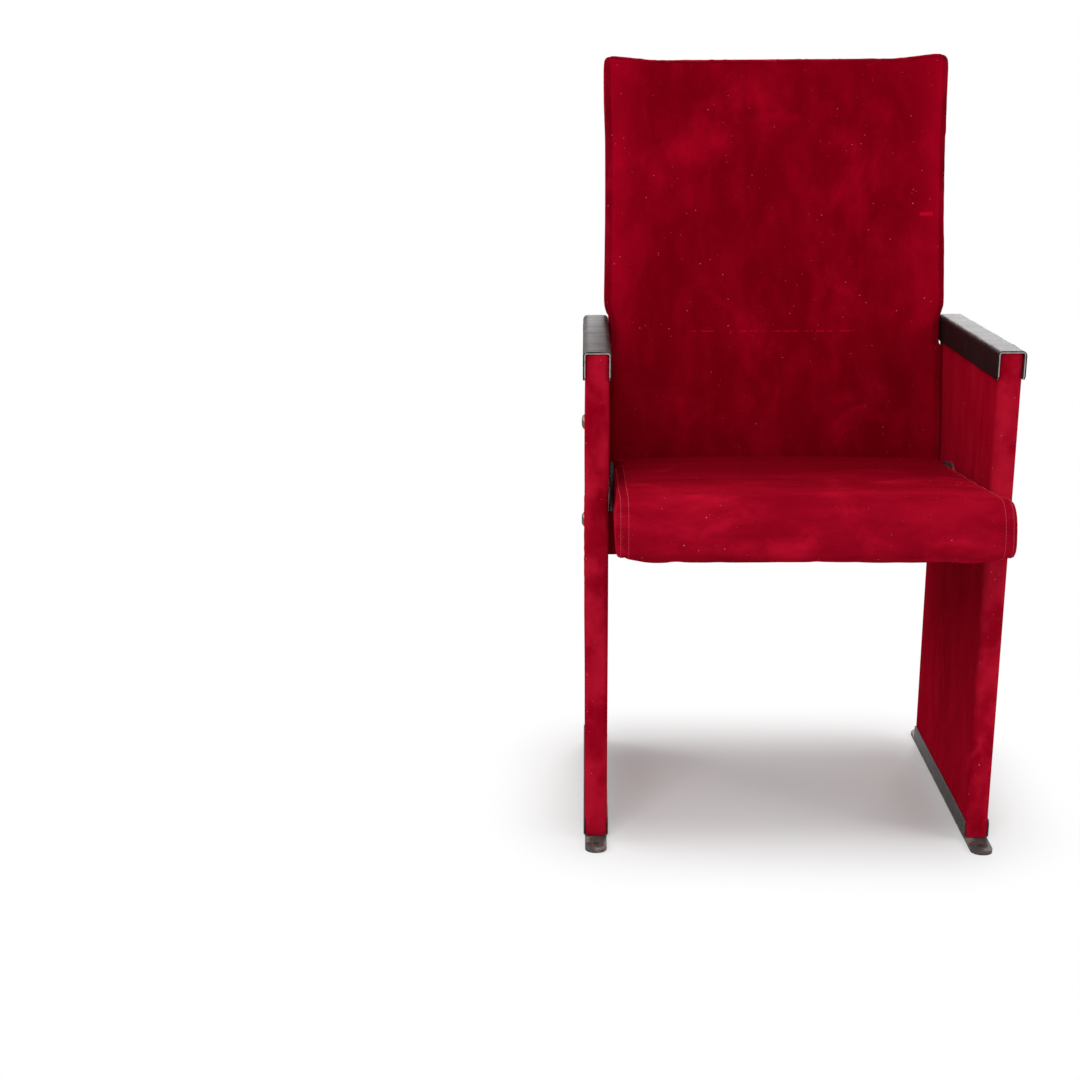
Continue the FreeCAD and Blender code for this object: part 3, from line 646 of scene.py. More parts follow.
def plain_skin(name, shade, other, roughness):
    """Moulded nylon or rubber: even, with a fine orange peel."""
    skin = Finish(name, roughness=roughness)
    peel = skin.noise(skin.placed(), 700, 2.0)
    skin.colour(skin.mix(skin.step(peel, 0.3, 0.7), shade, other))
    skin.bump(peel, 0.00006, 0.5)
    return skin.material


def wood(name, early, late, rings):
    """Straight grain along X and Z, from a stretched noise."""
    timber = Finish(name, roughness=0.6)
    grain = timber.noise(timber.placed(stretch=(1, rings, 0.08)), 60, 5.0, 0.65, 0.8)
    pores = timber.noise(timber.placed(stretch=(1, 1, 0.05)), 900, 1.0)
    timber.colour(timber.mix(timber.step(grain, 0.35, 0.65), early, late))
    timber.rough(grain, 0.5, 0.7)
    timber.bump(pores, 0.00012, 0.5)
    return timber.material


channel_paint = painted_steel("channel_paint", tone(58, 54, 54), tone(112, 106, 103), 0.35)
bar_paint = painted_steel("bar_paint", tone(62, 57, 55), tone(124, 112, 104), 0.75)
hinge_paint = painted_steel("hinge_paint", tone(40, 40, 42), tone(96, 94, 92), 0.25)
bronzed = bare_steel("bronzed_steel", tone(112, 104, 92), tone(84, 76, 68), 0.38)
zinc = bare_steel("zinc_plate", tone(186, 186, 182), tone(150, 150, 148), 0.34)
nylon = plain_skin("white_nylon", tone(226, 223, 212), tone(214, 210, 198), 0.55)
rubber = plain_skin("black_rubber", tone(34, 34, 35), tone(46, 46, 46), 0.8)
plywood = wood("birch_plywood", tone(214, 184, 140), tone(190, 156, 112), 9.0)
beech = wood("beech", tone(214, 176, 134), tone(190, 148, 108), 1.0)

finish_of_slot = {"velvet": cover_velvet, "leatherette": black_leatherette, "plywood": plywood,
                  "beech": beech, "painted_steel": hinge_paint, "bronzed_steel": bronzed,
                  "zinc_steel": zinc, "nylon": nylon, "rubber": rubber}
for part in frame["record"]["subparts"]:
    node = nodes[part["node"]]
    node.data.materials.clear()
    node.data.materials.append(finish_of_slot[part["material_slot"]])

# %% [markdown]
# ## The padded back
#
# The real back is foam on a plywood shell, sewn into velvet. It could be modelled as a box with rounded
# corners, but then nothing would show that it is soft. So the CAD pieces of the back are copied and
# joined, remeshed into even small cells, and blown up a little as cloth, which is what foam does to
# its cover. The swelling is capped, because a real cover hardly stretches.

# %% A padded form from CAD pieces
def joined_copy(name, names):
    """One new piece from copies of CAD nodes, with their shared corners merged."""
    copies = []
    for node_name in names:
        copied = bpy.data.objects.new(name, nodes[node_name].data.copy())
        scene.collection.objects.link(copied)
        copies.append(copied)
    only(copies[0])
    for copied in copies:
        copied.select_set(True)
    bpy.ops.object.join()
    form = bpy.context.object
    form.name = name
    shape_all(form, bpy.ops.mesh.remove_doubles, threshold=0.01 * MM)
    return form


def remeshed(form, cell):
    """Even cells all over, and only the outer shell kept."""
    modifier(form, "REMESH", mode="VOXEL", voxel_size=cell)
    apply_all(form)
    name = form.name
    shape_all(form, bpy.ops.mesh.separate, type="LOOSE")
    shells = sorted(bpy.context.selected_objects, key=lambda shell: len(shell.data.vertices))
    for small in shells[:-1]:
        bpy.data.objects.remove(small)
    form = only(shells[-1])
    form.name = name
    form.data.materials.clear()
    modifier(form, "SMOOTH", iterations=6)
    apply_all(form)
    print(name, "has", len(form.data.vertices), "cells")
    return form


start_inside, swell_most = 3 * MM, 4.5 * MM
cloth_frames = 20


def blown_up(form):
    """Cloth under a light pressure, with no point moved further than swell_most."""
    start = read_points(form) - read_normals(form) * start_inside
    write_points(form, start)
    cloth = modifier(form, "CLOTH").settings
    cloth.quality = 5
    cloth.mass = 0.3
    cloth.use_pressure = True
    cloth.uniform_pressure_force = 4
    cloth.effector_weights.gravity = 0
    for moment in range(1, cloth_frames + 1):
        scene.frame_set(moment)
    swollen = read_points(form.evaluated_get(bpy.context.evaluated_depsgraph_get()))
    move = swollen - start
    length = np.linalg.norm(move, axis=1, keepdims=True)
    start = start + move * np.minimum(1.0, swell_most / np.maximum(length, 1e-9))
    form.modifiers.clear()
    scene.frame_set(1)
    write_points(form, start)
    modifier(form, "SMOOTH", iterations=3)
    modifier(form, "SUBSURF", levels=1, render_levels=1)
    apply_all(form)
    bpy.ops.object.shade_smooth()
    return form


def stretched(points, low, high):
    """Points stretched along each axis to reach from low to high, as a cover pulled over its foam."""
    own_low, own_high = points.min(axis=0), points.max(axis=0)
    return np.array(low) + (points - own_low) * (np.array(high) - np.array(low)) / (own_high - own_low)


# %% [markdown]
# Pressure rounds a form, and also draws its flat sides in. A sewn cover can't do that, because it is
# cut to the foam's size. So the swollen form is stretched back to the CAD width and foot, and below
# the arm caps it swells against the panels, as foam does where it is squeezed in.

# %% The back's form
back_form = remeshed(joined_copy("back_upholstery", ["back_cushion", "back_rear_cover", "headrest_band",
                                                     "back_shell", "back_rail_left",
                                                     "back_rail_right"]), 6 * MM)
corner_lift = 4.5 * MM
side_swell = 4.5 * MM
over_size = 0.5 * MM
back_points = read_points(back_form)
lift = ramp_up(np.abs(back_points[:, 0]), 0.150, 0.222) * ramp_up(back_points[:, 2], 0.90, 0.98)
back_points[:, 2] += corner_lift * lift
write_points(back_form, back_points)
blown_up(back_form)

back_points = read_points(back_form)
reach_low, reach_high = back_points.min(axis=0), back_points.max(axis=0)
reach_low[0], reach_high[0] = back_low.x - over_size, back_high.x + over_size
reach_low[2] = back_low.z - over_size
back_points = stretched(back_points, reach_low, reach_high)
beside_arm = 1 - ramp_up(back_points[:, 2], arm_top - 2 * MM, arm_top + 14 * MM)
under_cap = 1 - ramp_up(back_points[:, 2], cap_foot - 10 * MM, cap_foot - 1 * MM)
room = arm_inner - 0.4 * MM + 12 * MM * (1 - beside_arm)
room += under_cap * (panel_low.x - arm_inner - 0.3 * MM)
filled = side_swell * under_cap * ramp_up(np.abs(back_points[:, 0]), 0.195, 0.220)
back_points[:, 0] += np.sign(back_points[:, 0]) * filled
back_points[:, 0] = np.clip(back_points[:, 0], -room, room)
write_points(back_form, back_points)
print("back is", [round(v * 1000) for v in np.ptp(back_points, axis=0)], "mm")

# %% [markdown]
# ## Seams and stitches
#
# A seam pulls the cover down to the foam, so it shows as a shallow groove, and the two rows of stitches
# beside it hold the seam allowance flat. The groove is pressed into the form's own points. Each
# row is one stitch, modelled once and repeated along a curve by the Array and Curve modifiers. The
# curve's points are found by shooting rays at the form, the way chalk would be drawn along it.

# %% Helpers for seams
def touch(form, origin, direction):
    """Where a ray first meets the form, or None."""
    hit, place, _, _ = form.ray_cast(Vector(origin), Vector(direction).normalized())
    return place if hit else None


def press_groove(form, path, width, depth):
    """Presses a soft groove into the form along a line of points."""
    tree = KDTree(len(path))
    for i, place in enumerate(path):
        tree.insert(place, i)
    tree.balance()
    points = read_points(form)
    away = np.array([tree.find(point)[2] for point in points])
    pressed = depth * np.exp(-(away / width) ** 2)
    write_points(form, points - read_normals(form) * pressed[:, None])


def as_rows(places):
    return np.array([list(place) for place in places])


def reach_along(points):
    """How far along a line each of its points is."""
    steps = np.linalg.norm(np.diff(points, axis=0), axis=1)
    return np.concatenate([[0], np.cumsum(steps)])


def points_at(points, reach, at):
    """Places on a line of points, at the distances along it that at gives."""
    return np.array([[np.interp(s, reach, points[:, i]) for i in range(3)] for s in at])


def evenly(path, spacing):
    """The same line with its points a steady distance apart."""
    points = as_rows(path)
    reach = reach_along(points)
    return [Vector(place) for place in points_at(points, reach, np.arange(0, reach[-1], spacing))]


thread = plain_skin("red_thread", tone(150, 8, 30), tone(186, 30, 50), 0.6)
thread_radius = 0.35 * MM
stitch_pitch = 4.2 * MM
stitch_share = 0.78


def stitch_row(name, path):
    """A row of stitches along a line on the form."""
    row = rod(name, 6, thread_radius, stitch_pitch * stitch_share)
    shape(row, "FACE", lambda middle, normal: abs(normal.x) > 0.9,
          bpy.ops.mesh.inset, thickness=thread_radius * 0.45, depth=thread_radius * 0.5)
    places = evenly(path, stitch_pitch)
    line = bpy.data.curves.new(name + "_line", "CURVE")
    line.dimensions = "3D"
    spline = line.splines.new("POLY")
    spline.points.add(len(places) - 1)
    for point, place in zip(spline.points, places):
        point.co = (*place, 1)
    guide = bpy.data.objects.new(name + "_line", line)
    scene.collection.objects.link(guide)
    modifier(row, "ARRAY", fit_type="FIXED_COUNT", count=len(places) - 1, use_relative_offset=False,
             use_constant_offset=True, constant_offset_displace=(stitch_pitch, 0, 0))
    modifier(row, "CURVE", object=guide, deform_axis="POS_X")
    apply_all(row)
    bpy.data.objects.remove(guide)
    smooth(row, 60)
    row.data.materials.append(thread)
    return row


# %% Seams of the back
seam_inset = 8 * MM
rear_inset = seam_inset + 2 * MM
row_gap = 4.5 * MM
groove_width, groove_depth = 2.6 * MM, 1.3 * MM
rear_groove_depth = 1.2 * MM
groove_spacing = 2 * MM
chalk_step = 0.006


def half_width(form, height, depth):
    """Half the form's width at a height, felt from the side."""
    place = touch(form, (1.0, depth, height), (-1, 0, 0))
    return place.x if place else 0.0


def edge_line(form, side, facing, inset, low, high):
    """Chalk line up the front (facing -1) or rear (facing 1) face, inset from the side."""
    line = []
    for height in np.arange(low, high, chalk_step):
        face = touch(form, (side * 0.19, facing, height), (0, -facing, 0))
        if face is None:
            continue
        half = half_width(form, height, face.y - facing * 0.03)
        place = touch(form, (side * (half - inset), facing, height), (0, -facing, 0))
        if place is not None:
            line.append(place)
    return line


seam_paths = {}
back_rows = []
for side, which in ((1, "left"), (-1, "right")):
    front_seam = evenly(edge_line(back_form, side, -1, seam_inset, 0.325, 0.966), groove_spacing)
    rear_seam = evenly(edge_line(back_form, side, 1, rear_inset, 0.325, 0.985), groove_spacing)
    seam_paths[side] = (as_rows(front_seam), as_rows(rear_seam))
    press_groove(back_form, front_seam, groove_width, groove_depth)
    press_groove(back_form, rear_seam, groove_width, rear_groove_depth)
    for inset, place in ((rear_inset - row_gap, "outer"), (rear_inset + row_gap, "inner")):
        path = edge_line(back_form, side, 1, inset, 0.330, 0.962)
        back_rows.append(stitch_row("back_stitches_%s_%s" % (place, which), path))
for row in back_rows:
    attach(row, "chair_frame")
print("back seams pressed,", len(back_rows), "rows of stitches sewn")

# %% Which velvet is where
def write_attribute(piece, name, values):
    """A value for each point of the piece, which its material can read."""
    attribute = piece.data.attributes.new(name, "FLOAT", "POINT")
    attribute.data.foreach_set("value", np.asarray(values, dtype=np.float32))


def outside_seam(points, line):
    """How far each point is to the outer side of a seam that runs upwards, in metres."""
    order = np.argsort(line[:, 2])
    seam_x = np.interp(points[:, 2], line[order, 2], np.abs(line[order, 0]))
    return np.abs(points[:, 0]) - seam_x


behind_seam = 30 * MM
back_points = read_points(back_form)
front_line, rear_line = seam_paths[1]
middle_y = np.interp(back_points[:, 2], front_line[:, 2], front_line[:, 1]) + behind_seam
behind = back_points[:, 1] > middle_y
outside = np.where(behind, outside_seam(back_points, rear_line), outside_seam(back_points, front_line))
write_attribute(back_form, "gusset", outside)
# The rear panel is marked, so that its velvet takes the paler tones of painted light.
write_attribute(back_form, "rear", np.where(behind & (outside < 0.01), back_points[:, 1] - middle_y, -0.01))
back_form.data.materials.append(back_velvet)
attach(back_form, "chair_frame")
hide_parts("back_cushion", "back_rear_cover")
print("back dressed")

# %% [markdown]
# ## The gathered headrest band
#
# The top of the back is covered by a strip of velvet that is cut wider than the back and gathered
# into its seams, with a rolled hem below. It starts as a grid. Each column of the grid is laid down
# the back's own profile, found with rays, and the gathers are raised from it: round ridges with
# narrow valleys, close together on the sitter's left and slack on the right.

# %% Headrest band
def profile(form, x, count=160):
    """The outline of the headrest at x, from low on the rear, over the top, to the front."""
    centre = Vector((x, head_middle, 0.928))
    places = []
    for angle in np.linspace(math.radians(-72), math.radians(152), count):
        way = Vector((0, math.cos(angle), math.sin(angle)))
        places.append(touch(form, centre + way * 0.5, -way))
    return [place for place in places if place is not None]


def hem_height(x):
    """The rolled hem sags in the middle and sits highest at the sitter's right."""
    share = x / 0.22
    return 0.8585 - 0.004 * share + 0.0105 * share * share


def rows_on(line, x, count):
    """Points a steady distance apart along the profile, from the hem to the front seam."""
    points = as_rows(line)
    reach = reach_along(points)
    top = int(np.argmax(points[:, 2]))
    start = np.interp(hem_height(x), points[:top, 2], reach[:top])
    front_reach = reach[(np.arange(len(points)) > top) & (points[:, 2] < points[top, 2] - 2.5 * MM)][0]
    return points_at(points, reach, np.linspace(start, front_reach, count))


columns, rows = 260, 72
head_middle = touch(back_form, (0, 1.0, 0.90), (0, -1, 0)).y - 0.034
band_half = half_width(back_form, 0.93, head_middle) - rear_inset
bpy.ops.object.select_all(action="DESELECT")
bpy.ops.mesh.primitive_grid_add(x_subdivisions=columns - 1, y_subdivisions=rows - 1, size=2)
band = bpy.context.object
band.name = "gathered_headrest"
flat = read_points(band)
xs = np.linspace(-band_half, band_half, columns)
laid = np.stack([rows_on(profile(back_form, x), x, rows) for x in xs])
column = np.rint((flat[:, 0] + 1) / 2 * (columns - 1)).astype(int)
line = np.rint((flat[:, 1] + 1) / 2 * (rows - 1)).astype(int)
write_points(band, laid[column, line])

# %% Gathers
ridge_height = 5.0 * MM
lowest_fold = 0.8 * MM
ripple = 0.6 * MM
valley_shade = 0.42
share_x = (column / (columns - 1)) * 2 - 1
share_up = line / (rows - 1)
along = np.linspace(-1, 1, 400)
crowding = 13 + 25 * ramp_up(along, -0.3, 0.9)
gather_count = np.interp(share_x, along, np.cumsum(crowding) * band_half / 200)
lean = 0.9 * soft_waves(share_x * 2.0, share_up * 0.8, 11, 1.2)
crowded = 0.45 * soft_waves(share_x * 3.0, share_up * 0.3, 17, 1.1)
ridge = 1 - np.abs(np.cos(math.pi * (gather_count + crowded + lean * share_up))) ** 1.5
strength = 0.15 + 0.85 * ramp_up(soft_waves(share_x * 5, share_up * 1.2, 5, 1.6), -0.9, 0.9)
towards_top = 0.55 + 0.45 * ramp_up(share_up, 0.0, 0.6)
held = ramp_up(1 - np.abs(share_x), 0.0, 0.05) * (1 - 0.9 * ramp_up(share_up, 0.50, 0.80))
points = read_points(band)
height = ridge_height * ridge * strength * towards_top * held + lowest_fold
height += ripple * soft_waves(points[:, 0], points[:, 2], 21, 0.08) * held
normals = read_normals(band)
centre = np.array([0, head_middle, 0.92])
outward = np.sign(((points - centre) * normals)[:, 1:].sum(axis=1))[:, None]
write_points(band, points + normals * outward * height[:, None])
# Painted shade in the valleys and painted highlight on the ridges, for the band's velvet.
folded = valley_shade + (ridge - 0.45) * strength * towards_top * held
write_attribute(band, "ridge", np.clip(folded, 0, 1))
faces_outwards(band)
modifier(band, "SOLIDIFY", thickness=1.2 * MM, offset=-1)
apply_all(band)
bpy.ops.object.shade_smooth()
band.data.materials.append(band_velvet)
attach(band, "chair_frame")
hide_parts("headrest_band")
print("headrest band gathered over", round(2000 * band_half), "mm")

# %% Rolled hem
hem_radius = 4.6 * MM
hem = rod("rolled_hem", 14, hem_radius, 2 * band_half)
shape(hem, "EDGE", lambda a, b: abs(a.x - b.x) > band_half, bpy.ops.mesh.subdivide, number_cuts=179)
points = read_points(hem)
for i, (x, y, z) in enumerate(points):
    inside = max(-band_half, min(band_half, x))
    low = hem_height(inside)
    rest = touch(back_form, (inside, 1.0, low), (0, -1, 0))
    twist = 0.4 * MM * math.sin(inside * 110) + 0.2 * MM * math.sin(inside * 330 + 1)
    points[i] = (x, rest.y + 1.2 * MM + 0.62 * y, low + z + twist)
write_points(hem, points)
smooth(hem, 60)
hem.data.materials.append(hem_velvet)
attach(hem, "chair_frame")
print("hem rolled")

# %% [markdown]
# ## The seat
#
# The seat is foam on a board. Its top panel wraps over the rounded nose, and a narrow gusset closes
# each side with the same double stitching. It is made like the back, from a copy of its CAD pieces.
# It rides on the tipping body, so it must stay clear of the panels and of the back's foot.

# %% The seat's form
level = Matrix.Rotation(seat_tilt, 3, "X")


def to_level(points):
    """Seat points with the pivot at the origin and the seat level."""
    return (np.asarray(points) - np.array(pivot)) @ np.array(level).T


def to_place(points):
    """Back from the level seat to where the seat is at rest."""
    return np.asarray(points) @ np.array(level) + np.array(pivot)


def held_near(form, node_name, most):
    """Brings points back that stand further off a CAD solid than most allows, in metres."""
    points = read_points(form)
    solid = nodes[node_name]
    for i, point in enumerate(points):
        _, near, normal, _ = solid.closest_point_on_mesh(Vector(point))
        proud = (Vector(point) - near).dot(normal) - most[i]
        if proud > 0:
            points[i] -= np.array(normal) * proud
    write_points(form, points)


seat_form = remeshed(joined_copy("seat_upholstery", ["seat_cushion", "seat_board", "seat_angle_left",
                                                     "seat_angle_right", "seat_front_rail"]), 5 * MM)
foot_drop, crown_rise = 3.5 * MM, 2.5 * MM
most_proud, less_proud = 3.5 * MM, 3.0 * MM
blown_up(seat_form)
cushion_level = to_level(read_points(nodes["seat_cushion"]))
reach_low, reach_high = cushion_level.min(axis=0), cushion_level.max(axis=0)
reach_low[2] -= foot_drop
seat_points = stretched(to_level(read_points(seat_form)), reach_low, reach_high)
seat_points[:, 2] += crown_rise * ramp_up(seat_points[:, 2], -0.01, 0.03)
write_points(seat_form, to_place(seat_points))
near_hinge = ramp_up(seat_points[:, 1], -0.10, -0.03)
at_side = ramp_up(np.abs(seat_points[:, 0]), 0.19, 0.215)
held_near(seat_form, "seat_cushion", most_proud - less_proud * np.maximum(near_hinge, at_side))
seat_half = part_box("seat_cushion")[1].x
print("seat is", [round(v * 1000) for v in np.ptp(to_level(read_points(seat_form)), axis=0)], "mm, level")


# %% Seams of the seat
seat_front = to_level(read_points(seat_form))[:, 1].min()
nose_centre = seat_front + 36 * MM
seat_seam = 12 * MM


def touch_level(form, origin, direction):
    """A ray given on the level seat, and where it meets the form at rest."""
    start = Vector(to_place([origin])[0])
    way = level.transposed() @ Vector(direction)
    return touch(form, start, way)


def seat_line(side, inset):
    """Chalk line along the top, over the nose and under it, inset from the side."""
    x = side * (seat_half - inset)
    depths = np.arange(-0.06, nose_centre, -chalk_step)
    line = [touch_level(seat_form, (x, y, 0.3), (0, 0, -1)) for y in depths]
    for angle in np.linspace(math.radians(88), math.radians(258), 60):
        way = Vector((0, math.cos(angle), math.sin(angle)))
        line.append(touch_level(seat_form, Vector((x, nose_centre, 0)) + way * 0.3, -way))
    return [place for place in line if place is not None]


for side, which in ((1, "left"), (-1, "right")):
    press_groove(seat_form, evenly(seat_line(side, seat_seam), groove_spacing), groove_width, groove_depth)
    for inset, place in ((seat_seam - row_gap, "outer"), (seat_seam + row_gap, "inner")):
        row = stitch_row("seat_stitches_%s_%s" % (place, which), seat_line(side, inset))
        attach(row, "tip_up_seat")
print("seat seams pressed and sewn")

# %% The seat's velvets
write_attribute(seat_form, "gusset", np.abs(read_points(seat_form)[:, 0]) - (seat_half - seat_seam))
seat_form.data.materials.append(seat_velvet)
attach(seat_form, "tip_up_seat")
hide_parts("seat_cushion")
print("seat dressed")

# %% [markdown]
# The underside of the seat shows whenever the seat is tipped up. A thin board, wrapped in the same
# velvet, closes it. The wrap rounds the board's edges, so a block gets two rounds of bevel, and is
# then turned to the tilt of the seat.

# %% Underside panel
cover_points = to_level(read_points(nodes["seat_underside_cover"]))
cover_low, cover_high = cover_points.min(axis=0), cover_points.max(axis=0)
underside = block("underside_panel", cover_low, cover_high)
shape(underside, "EDGE", lambda a, b: abs(a.z - b.z) > 1 * MM,
      bpy.ops.mesh.bevel, offset=9 * MM, segments=5, affect="EDGES")
shape(underside, "EDGE", lambda a, b: max(a.z, b.z) < cover_low[2] + 0.1 * MM,
      bpy.ops.mesh.bevel, offset=3 * MM, segments=4, affect="EDGES")
write_points(underside, to_place(read_points(underside)))
smooth(underside, 50)
underside.data.materials.append(cover_velvet)
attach(underside, "tip_up_seat")
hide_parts("seat_underside_cover")
print("underside closed")

# %% [markdown]
# ## The velvet of the side panels
#
# Each panel's board is wrapped in one piece of velvet over thin felt. A flat wrap would look like
# painted board, so the block is cut into a fine grid by subdividing its long edges, and a few creases
# are raised where the cloth was pulled when it was stapled. The bottom stays open in the channel.

# %% Panel wraps
def panel_wrap(name, node_name, creases, seed):
    """A velvet wrap for one panel. Creases are (outer side?, start, end, width, height)."""
    low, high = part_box(node_name)
    wrap = block(name, low, high)
    shape(wrap, "FACE", lambda middle, normal: normal.z < -0.9, bpy.ops.mesh.delete, type="FACE")
    shape(wrap, "EDGE", lambda a, b: abs(a.z - b.z) > 0.3,
          bpy.ops.mesh.bevel, offset=8 * MM, segments=6, affect="EDGES")
    shape(wrap, "EDGE", lambda a, b: abs(a.y - b.y) > 0.2 and min(a.z, b.z) > high.z - 1 * MM,
          bpy.ops.mesh.bevel, offset=2.2 * MM, segments=3, affect="EDGES")
    shape(wrap, "EDGE", lambda a, b: abs(a.z - b.z) > 0.3, bpy.ops.mesh.subdivide, number_cuts=139)
    shape(wrap, "EDGE", lambda a, b: abs(a.y - b.y) > 0.2, bpy.ops.mesh.subdivide, number_cuts=69)
    points = read_points(wrap)
    side = 1 if low.x > 0 else -1
    outer = np.abs(points[:, 0]) > (abs(low.x) + abs(high.x)) / 2
    flat = ramp_up(high.y - np.abs(points[:, 1]), 4 * MM, 16 * MM)
    flat = flat * ramp_up(arm_top - points[:, 2], 30 * MM, 50 * MM) * ramp_up(points[:, 2], 0.03, 0.06)
    push = 0.22 * MM * soft_waves(points[:, 1], points[:, 2] * 0.4, seed, 0.16)
    for on_outer, start, end, width, rise in creases:
        near = crease(points[:, 1], points[:, 2], start, end, width)
        push = push + np.where(outer == on_outer, near * rise, 0)
    points[:, 0] += push * flat * np.where(outer, side, -side)
    write_points(wrap, points)
    modifier(wrap, "SOLIDIFY", thickness=1.4 * MM, offset=-1)
    apply_all(wrap)
    smooth(wrap, 60)
    wrap.data.materials.append(panel_velvet)
    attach(wrap, "chair_frame")
    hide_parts(node_name)
    print(name, "has", len(wrap.data.polygons), "faces")
    return wrap


pulled = [(True, (-0.040, 0.463), (-0.095, 0.284), 3.2 * MM, 1.7 * MM),
          (True, (-0.110, 0.424), (-0.149, 0.349), 3.0 * MM, -1.2 * MM),
          (True, (0.048, 0.584), (0.017, 0.552), 3.0 * MM, -1.1 * MM),
          (True, (-0.098, 0.600), (-0.100, 0.120), 6.0 * MM, 1.0 * MM),
          (False, (-0.064, 0.600), (-0.072, 0.430), 5.0 * MM, 1.7 * MM),
          (False, (-0.100, 0.600), (-0.106, 0.400), 6.0 * MM, 1.5 * MM),
          (False, (0.060, 0.300), (-0.010, 0.120), 4.0 * MM, 0.8 * MM)]
panel_wrap("panel_velvet_left", "side_velvet_left", pulled, 3)
panel_wrap("panel_velvet_right", "side_velvet_right", pulled, 8)

# %% [markdown]
# ## Arm caps
#
# Each cap is a strip of leatherette pulled over a bent steel core, open at both ends, with a small
# cut at the corners of its skirts. It is the top and two sides of a block, gridded, creased across
# where the skin was folded in its roll, and then given the thickness of the skin.

# %% Arm caps
cap_creases = ((-0.012, 0.9, 2.2), (-0.086, 0.5, 3.0), (-0.112, 0.6, 2.0), (-0.131, 0.4, 2.6))


def arm_cap(name, node_name, seed):
    """A leatherette cap. Each crease is (place along the cap in m, depth in mm, width in mm)."""
    low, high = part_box(node_name)
    cap = block(name, low, high)
    shape(cap, "FACE", lambda middle, normal: normal.z < -0.9 or abs(normal.y) > 0.9,
          bpy.ops.mesh.delete, type="FACE")
    shape(cap, "EDGE", lambda a, b: abs(a.y - b.y) > 0.2 and min(a.z, b.z) > high.z - 1 * MM,
          bpy.ops.mesh.bevel, offset=6 * MM, segments=6, affect="EDGES")
    shape(cap, "EDGE", lambda a, b: abs(a.y - b.y) > 0.2, bpy.ops.mesh.subdivide, number_cuts=149)
    shape(cap, "EDGE", lambda a, b: abs(a.z - b.z) > 0.02, bpy.ops.mesh.subdivide, number_cuts=9)
    shape(cap, "EDGE", lambda a, b: abs(a.x - b.x) > 0.02, bpy.ops.mesh.subdivide, number_cuts=7)
    for end in (-1, 1):
        shape_all(cap, bpy.ops.mesh.bisect, plane_co=(0, end * high.y, low.z + 4 * MM),
                  plane_no=(0, end, -1), clear_outer=True, clear_inner=False)
    points = read_points(cap)
    normals = read_normals(cap)
    y, around = points[:, 1], points[:, 0] * 0.5 + points[:, 2]
    push = 0.28 * MM * soft_waves(y, around, seed, 0.09)
    for place, depth, width in cap_creases:
        bowed = y - place - 2.5 * MM * np.sin(around * 160 + seed)
        push -= depth * MM * np.exp(-(bowed / (width * MM)) ** 2)
        push += 0.45 * depth * MM * np.exp(-((bowed + 2 * width * MM) / (width * MM)) ** 2)
    steady = ramp_up(high.y - np.abs(y), 0.5 * MM, 8 * MM)
    write_points(cap, points + normals * (np.clip(push, -1.0 * MM, 0.8 * MM) * steady)[:, None])
    modifier(cap, "SOLIDIFY", thickness=1.6 * MM, offset=-1)
    eased(cap, 0.5 * MM, 60)
    apply_all(cap)
    smooth(cap, 50)
    cap.data.materials.append(black_leatherette)
    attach(cap, "chair_frame")
    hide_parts(node_name)
    print(name, "has", len(cap.data.polygons), "faces")
    return cap


arm_cap("arm_cap_left", "arm_wrap_left", 2)
arm_cap("arm_cap_right", "arm_wrap_right", 6)

# %% [markdown]
# ## Steelwork at the floor
#
# The channel is bent from 1.5 mm sheet, so its lower corners are round and catch a line of light. The
# bar under it has rounded tabs with a dished hole for an anchor. Both are blocks. The channel loses the
# faces the real one doesn't have, and the hole is cut by a Boolean modifier.

# %% Floor channels
def formed_channel(name, node_name):
    low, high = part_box(node_name)
    channel = block(name, low, high)
    shape(channel, "FACE", lambda middle, normal: normal.z > 0.9 or abs(normal.y) > 0.9,
          bpy.ops.mesh.delete, type="FACE")
    shape(channel, "EDGE", lambda a, b: abs(a.y - b.y) > 0.2 and max(a.z, b.z) < low.z + 1 * MM,
          bpy.ops.mesh.bevel, offset=2.4 * MM, segments=4, affect="EDGES")
    shape(channel, "VERT", lambda place: place.z > high.z - 0.5 * MM,
          bpy.ops.mesh.bevel, offset=5 * MM, segments=4, affect="VERTICES")
    modifier(channel, "SOLIDIFY", thickness=1.5 * MM, offset=-1)
    eased(channel, 0.3 * MM, 50)
    apply_all(channel)
    smooth(channel, 40)
    channel.data.materials.append(channel_paint)
    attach(channel, "chair_frame")
    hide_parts(node_name)
    return channel


for which in ("left", "right"):
    formed_channel("formed_channel_" + which, "floor_channel_" + which)
print("channels bent")


# %% Base bars
hole_from_end = 20 * MM


def cut_with(piece, cutters):
    for cutter in cutters:
        modifier(piece, "BOOLEAN", object=cutter, operation="DIFFERENCE")
        apply_all(piece)
        bpy.data.objects.remove(cutter)


def floor_bar(name, node_name):
    low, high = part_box(node_name)
    bar = block(name, low, high)
    shape(bar, "EDGE", lambda a, b: abs(a.z - b.z) > 1 * MM,
          bpy.ops.mesh.bevel, offset=0.9 * (high.x - low.x) / 2, segments=10, affect="EDGES")
    cutters = []
    for end in (-1, 1):
        x, y = (low.x + high.x) / 2, end * (high.y - hole_from_end)
        cutters.append(rod("hole", 40, 4.5 * MM, 30 * MM, (x, y, 0), upright=True))
        cutters.append(rod("dish", 40, 8.5 * MM, 0.7 * MM, (x, y, high.z), upright=True))
    cut_with(bar, cutters)
    eased(bar, 0.5 * MM, 40)
    apply_all(bar)
    smooth(bar, 35)
    bar.data.materials.append(bar_paint)
    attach(bar, "chair_frame")
    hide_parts(node_name)
    return bar


for which in ("left", "right"):
    floor_bar("floor_bar_" + which, "base_bar_" + which)
print("bars cut and drilled")

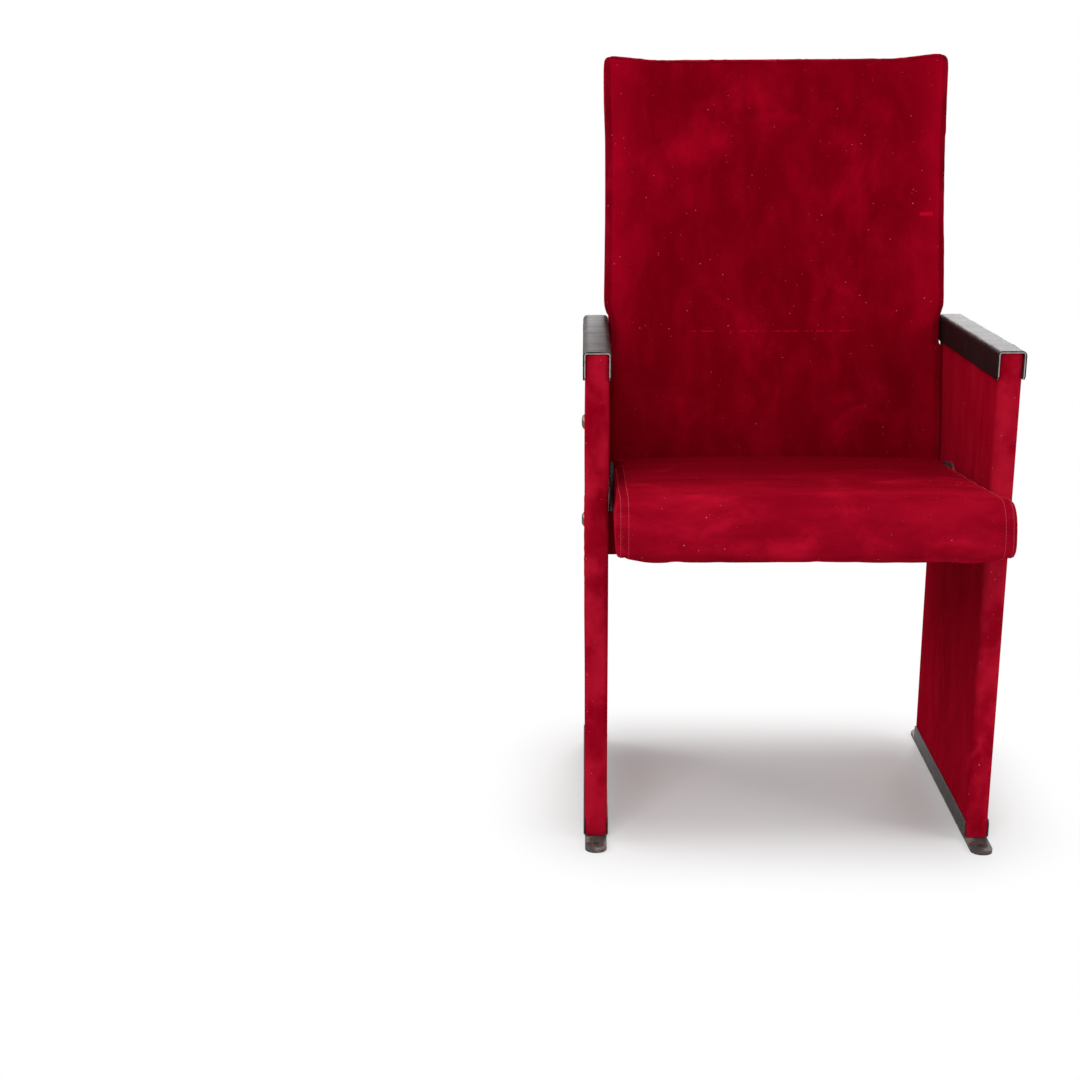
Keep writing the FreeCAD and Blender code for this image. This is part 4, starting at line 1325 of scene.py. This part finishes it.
# %% [markdown]
# ## Back bolts
#
# Two furniture bolts on each side carry the back. A head starts as a thin cylinder. Its outer face is
# inset step by step, each step rising less than the last, which makes the dome, and a hexagonal
# prism is cut from the middle. One bolt is made and the other three are copies.

# %% Bolts
bolts_low, bolts_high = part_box("back_bolts")
head_radius = 10.5 * MM
head_rim = 1.6 * MM
dome_rise = 3.4 * MM
shank_radius, shank_length = 4 * MM, 50 * MM
socket_radius, socket_depth = 3.3 * MM, 6 * MM
head_back = bolts_high.x - head_rim - dome_rise
bolt_y = (bolts_low.y + bolts_high.y) / 2
bolt_heights = (bolts_low.z + head_radius, bolts_high.z - head_radius)


def bolt_rod(name, sides, radius, length, x):
    return rod(name, sides, radius, length, (x, bolt_y, bolt_heights[0]))


bolt = bolt_rod("furniture_bolt", 48, head_radius, head_rim, head_back + head_rim / 2)
pick(bolt, "FACE", lambda middle, normal: normal.x > 0.9)
dome_steps = 7
for step in range(dome_steps):
    inner = (dome_steps - 1 - step) / dome_steps
    outer = (dome_steps - step) / dome_steps
    rise = dome_rise * (outer ** 4 - inner ** 4)
    bpy.ops.mesh.inset(thickness=head_radius * (outer - max(inner, 0.05)), depth=rise)
bpy.ops.object.mode_set(mode="OBJECT")
cut_with(bolt, [bolt_rod("key", 6, socket_radius, socket_depth, bolts_high.x)])
shank = bolt_rod("shank", 24, shank_radius, shank_length, head_back - shank_length / 2)
only(bolt)
shank.select_set(True)
bpy.ops.object.join()
eased(bolt, 0.25 * MM, 40)
apply_all(bolt)
smooth(bolt, 40)
bolt.data.materials.append(bronzed)

one_bolt = read_points(bolt)
bolt_number = 0
for side in (1, -1):
    for height in bolt_heights:
        bolt_number += 1
        copied = bolt if bolt_number == 1 else bpy.data.objects.new("bolt", bolt.data.copy())
        if bolt_number > 1:
            scene.collection.objects.link(copied)
        copied.name = "back_bolt_%d" % bolt_number
        places = one_bolt.copy()
        places[:, 2] += height - bolt_heights[0]
        places[:, 0] *= side
        write_points(copied, places)
        faces_outwards(copied)
        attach(copied, "chair_frame")
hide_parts("back_bolts")
print(bolt_number, "bolts in place")

# %% [markdown]
# ## Finishing
#
# The hinge plates, tube, angles, boards and rails stay as the frame made them, with the finishes given
# above. The last cell prints the size of the dressed seat beside that of the frame.

# %% Sizes of the frame and the dressed seat
dressed_low, dressed_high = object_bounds()
for name, low, high in (("frame", cad_low, cad_high), ("dressed", dressed_low, dressed_high)):
    print(name, [round((b - a) * 1000) for a, b in zip(low, high)], "mm")
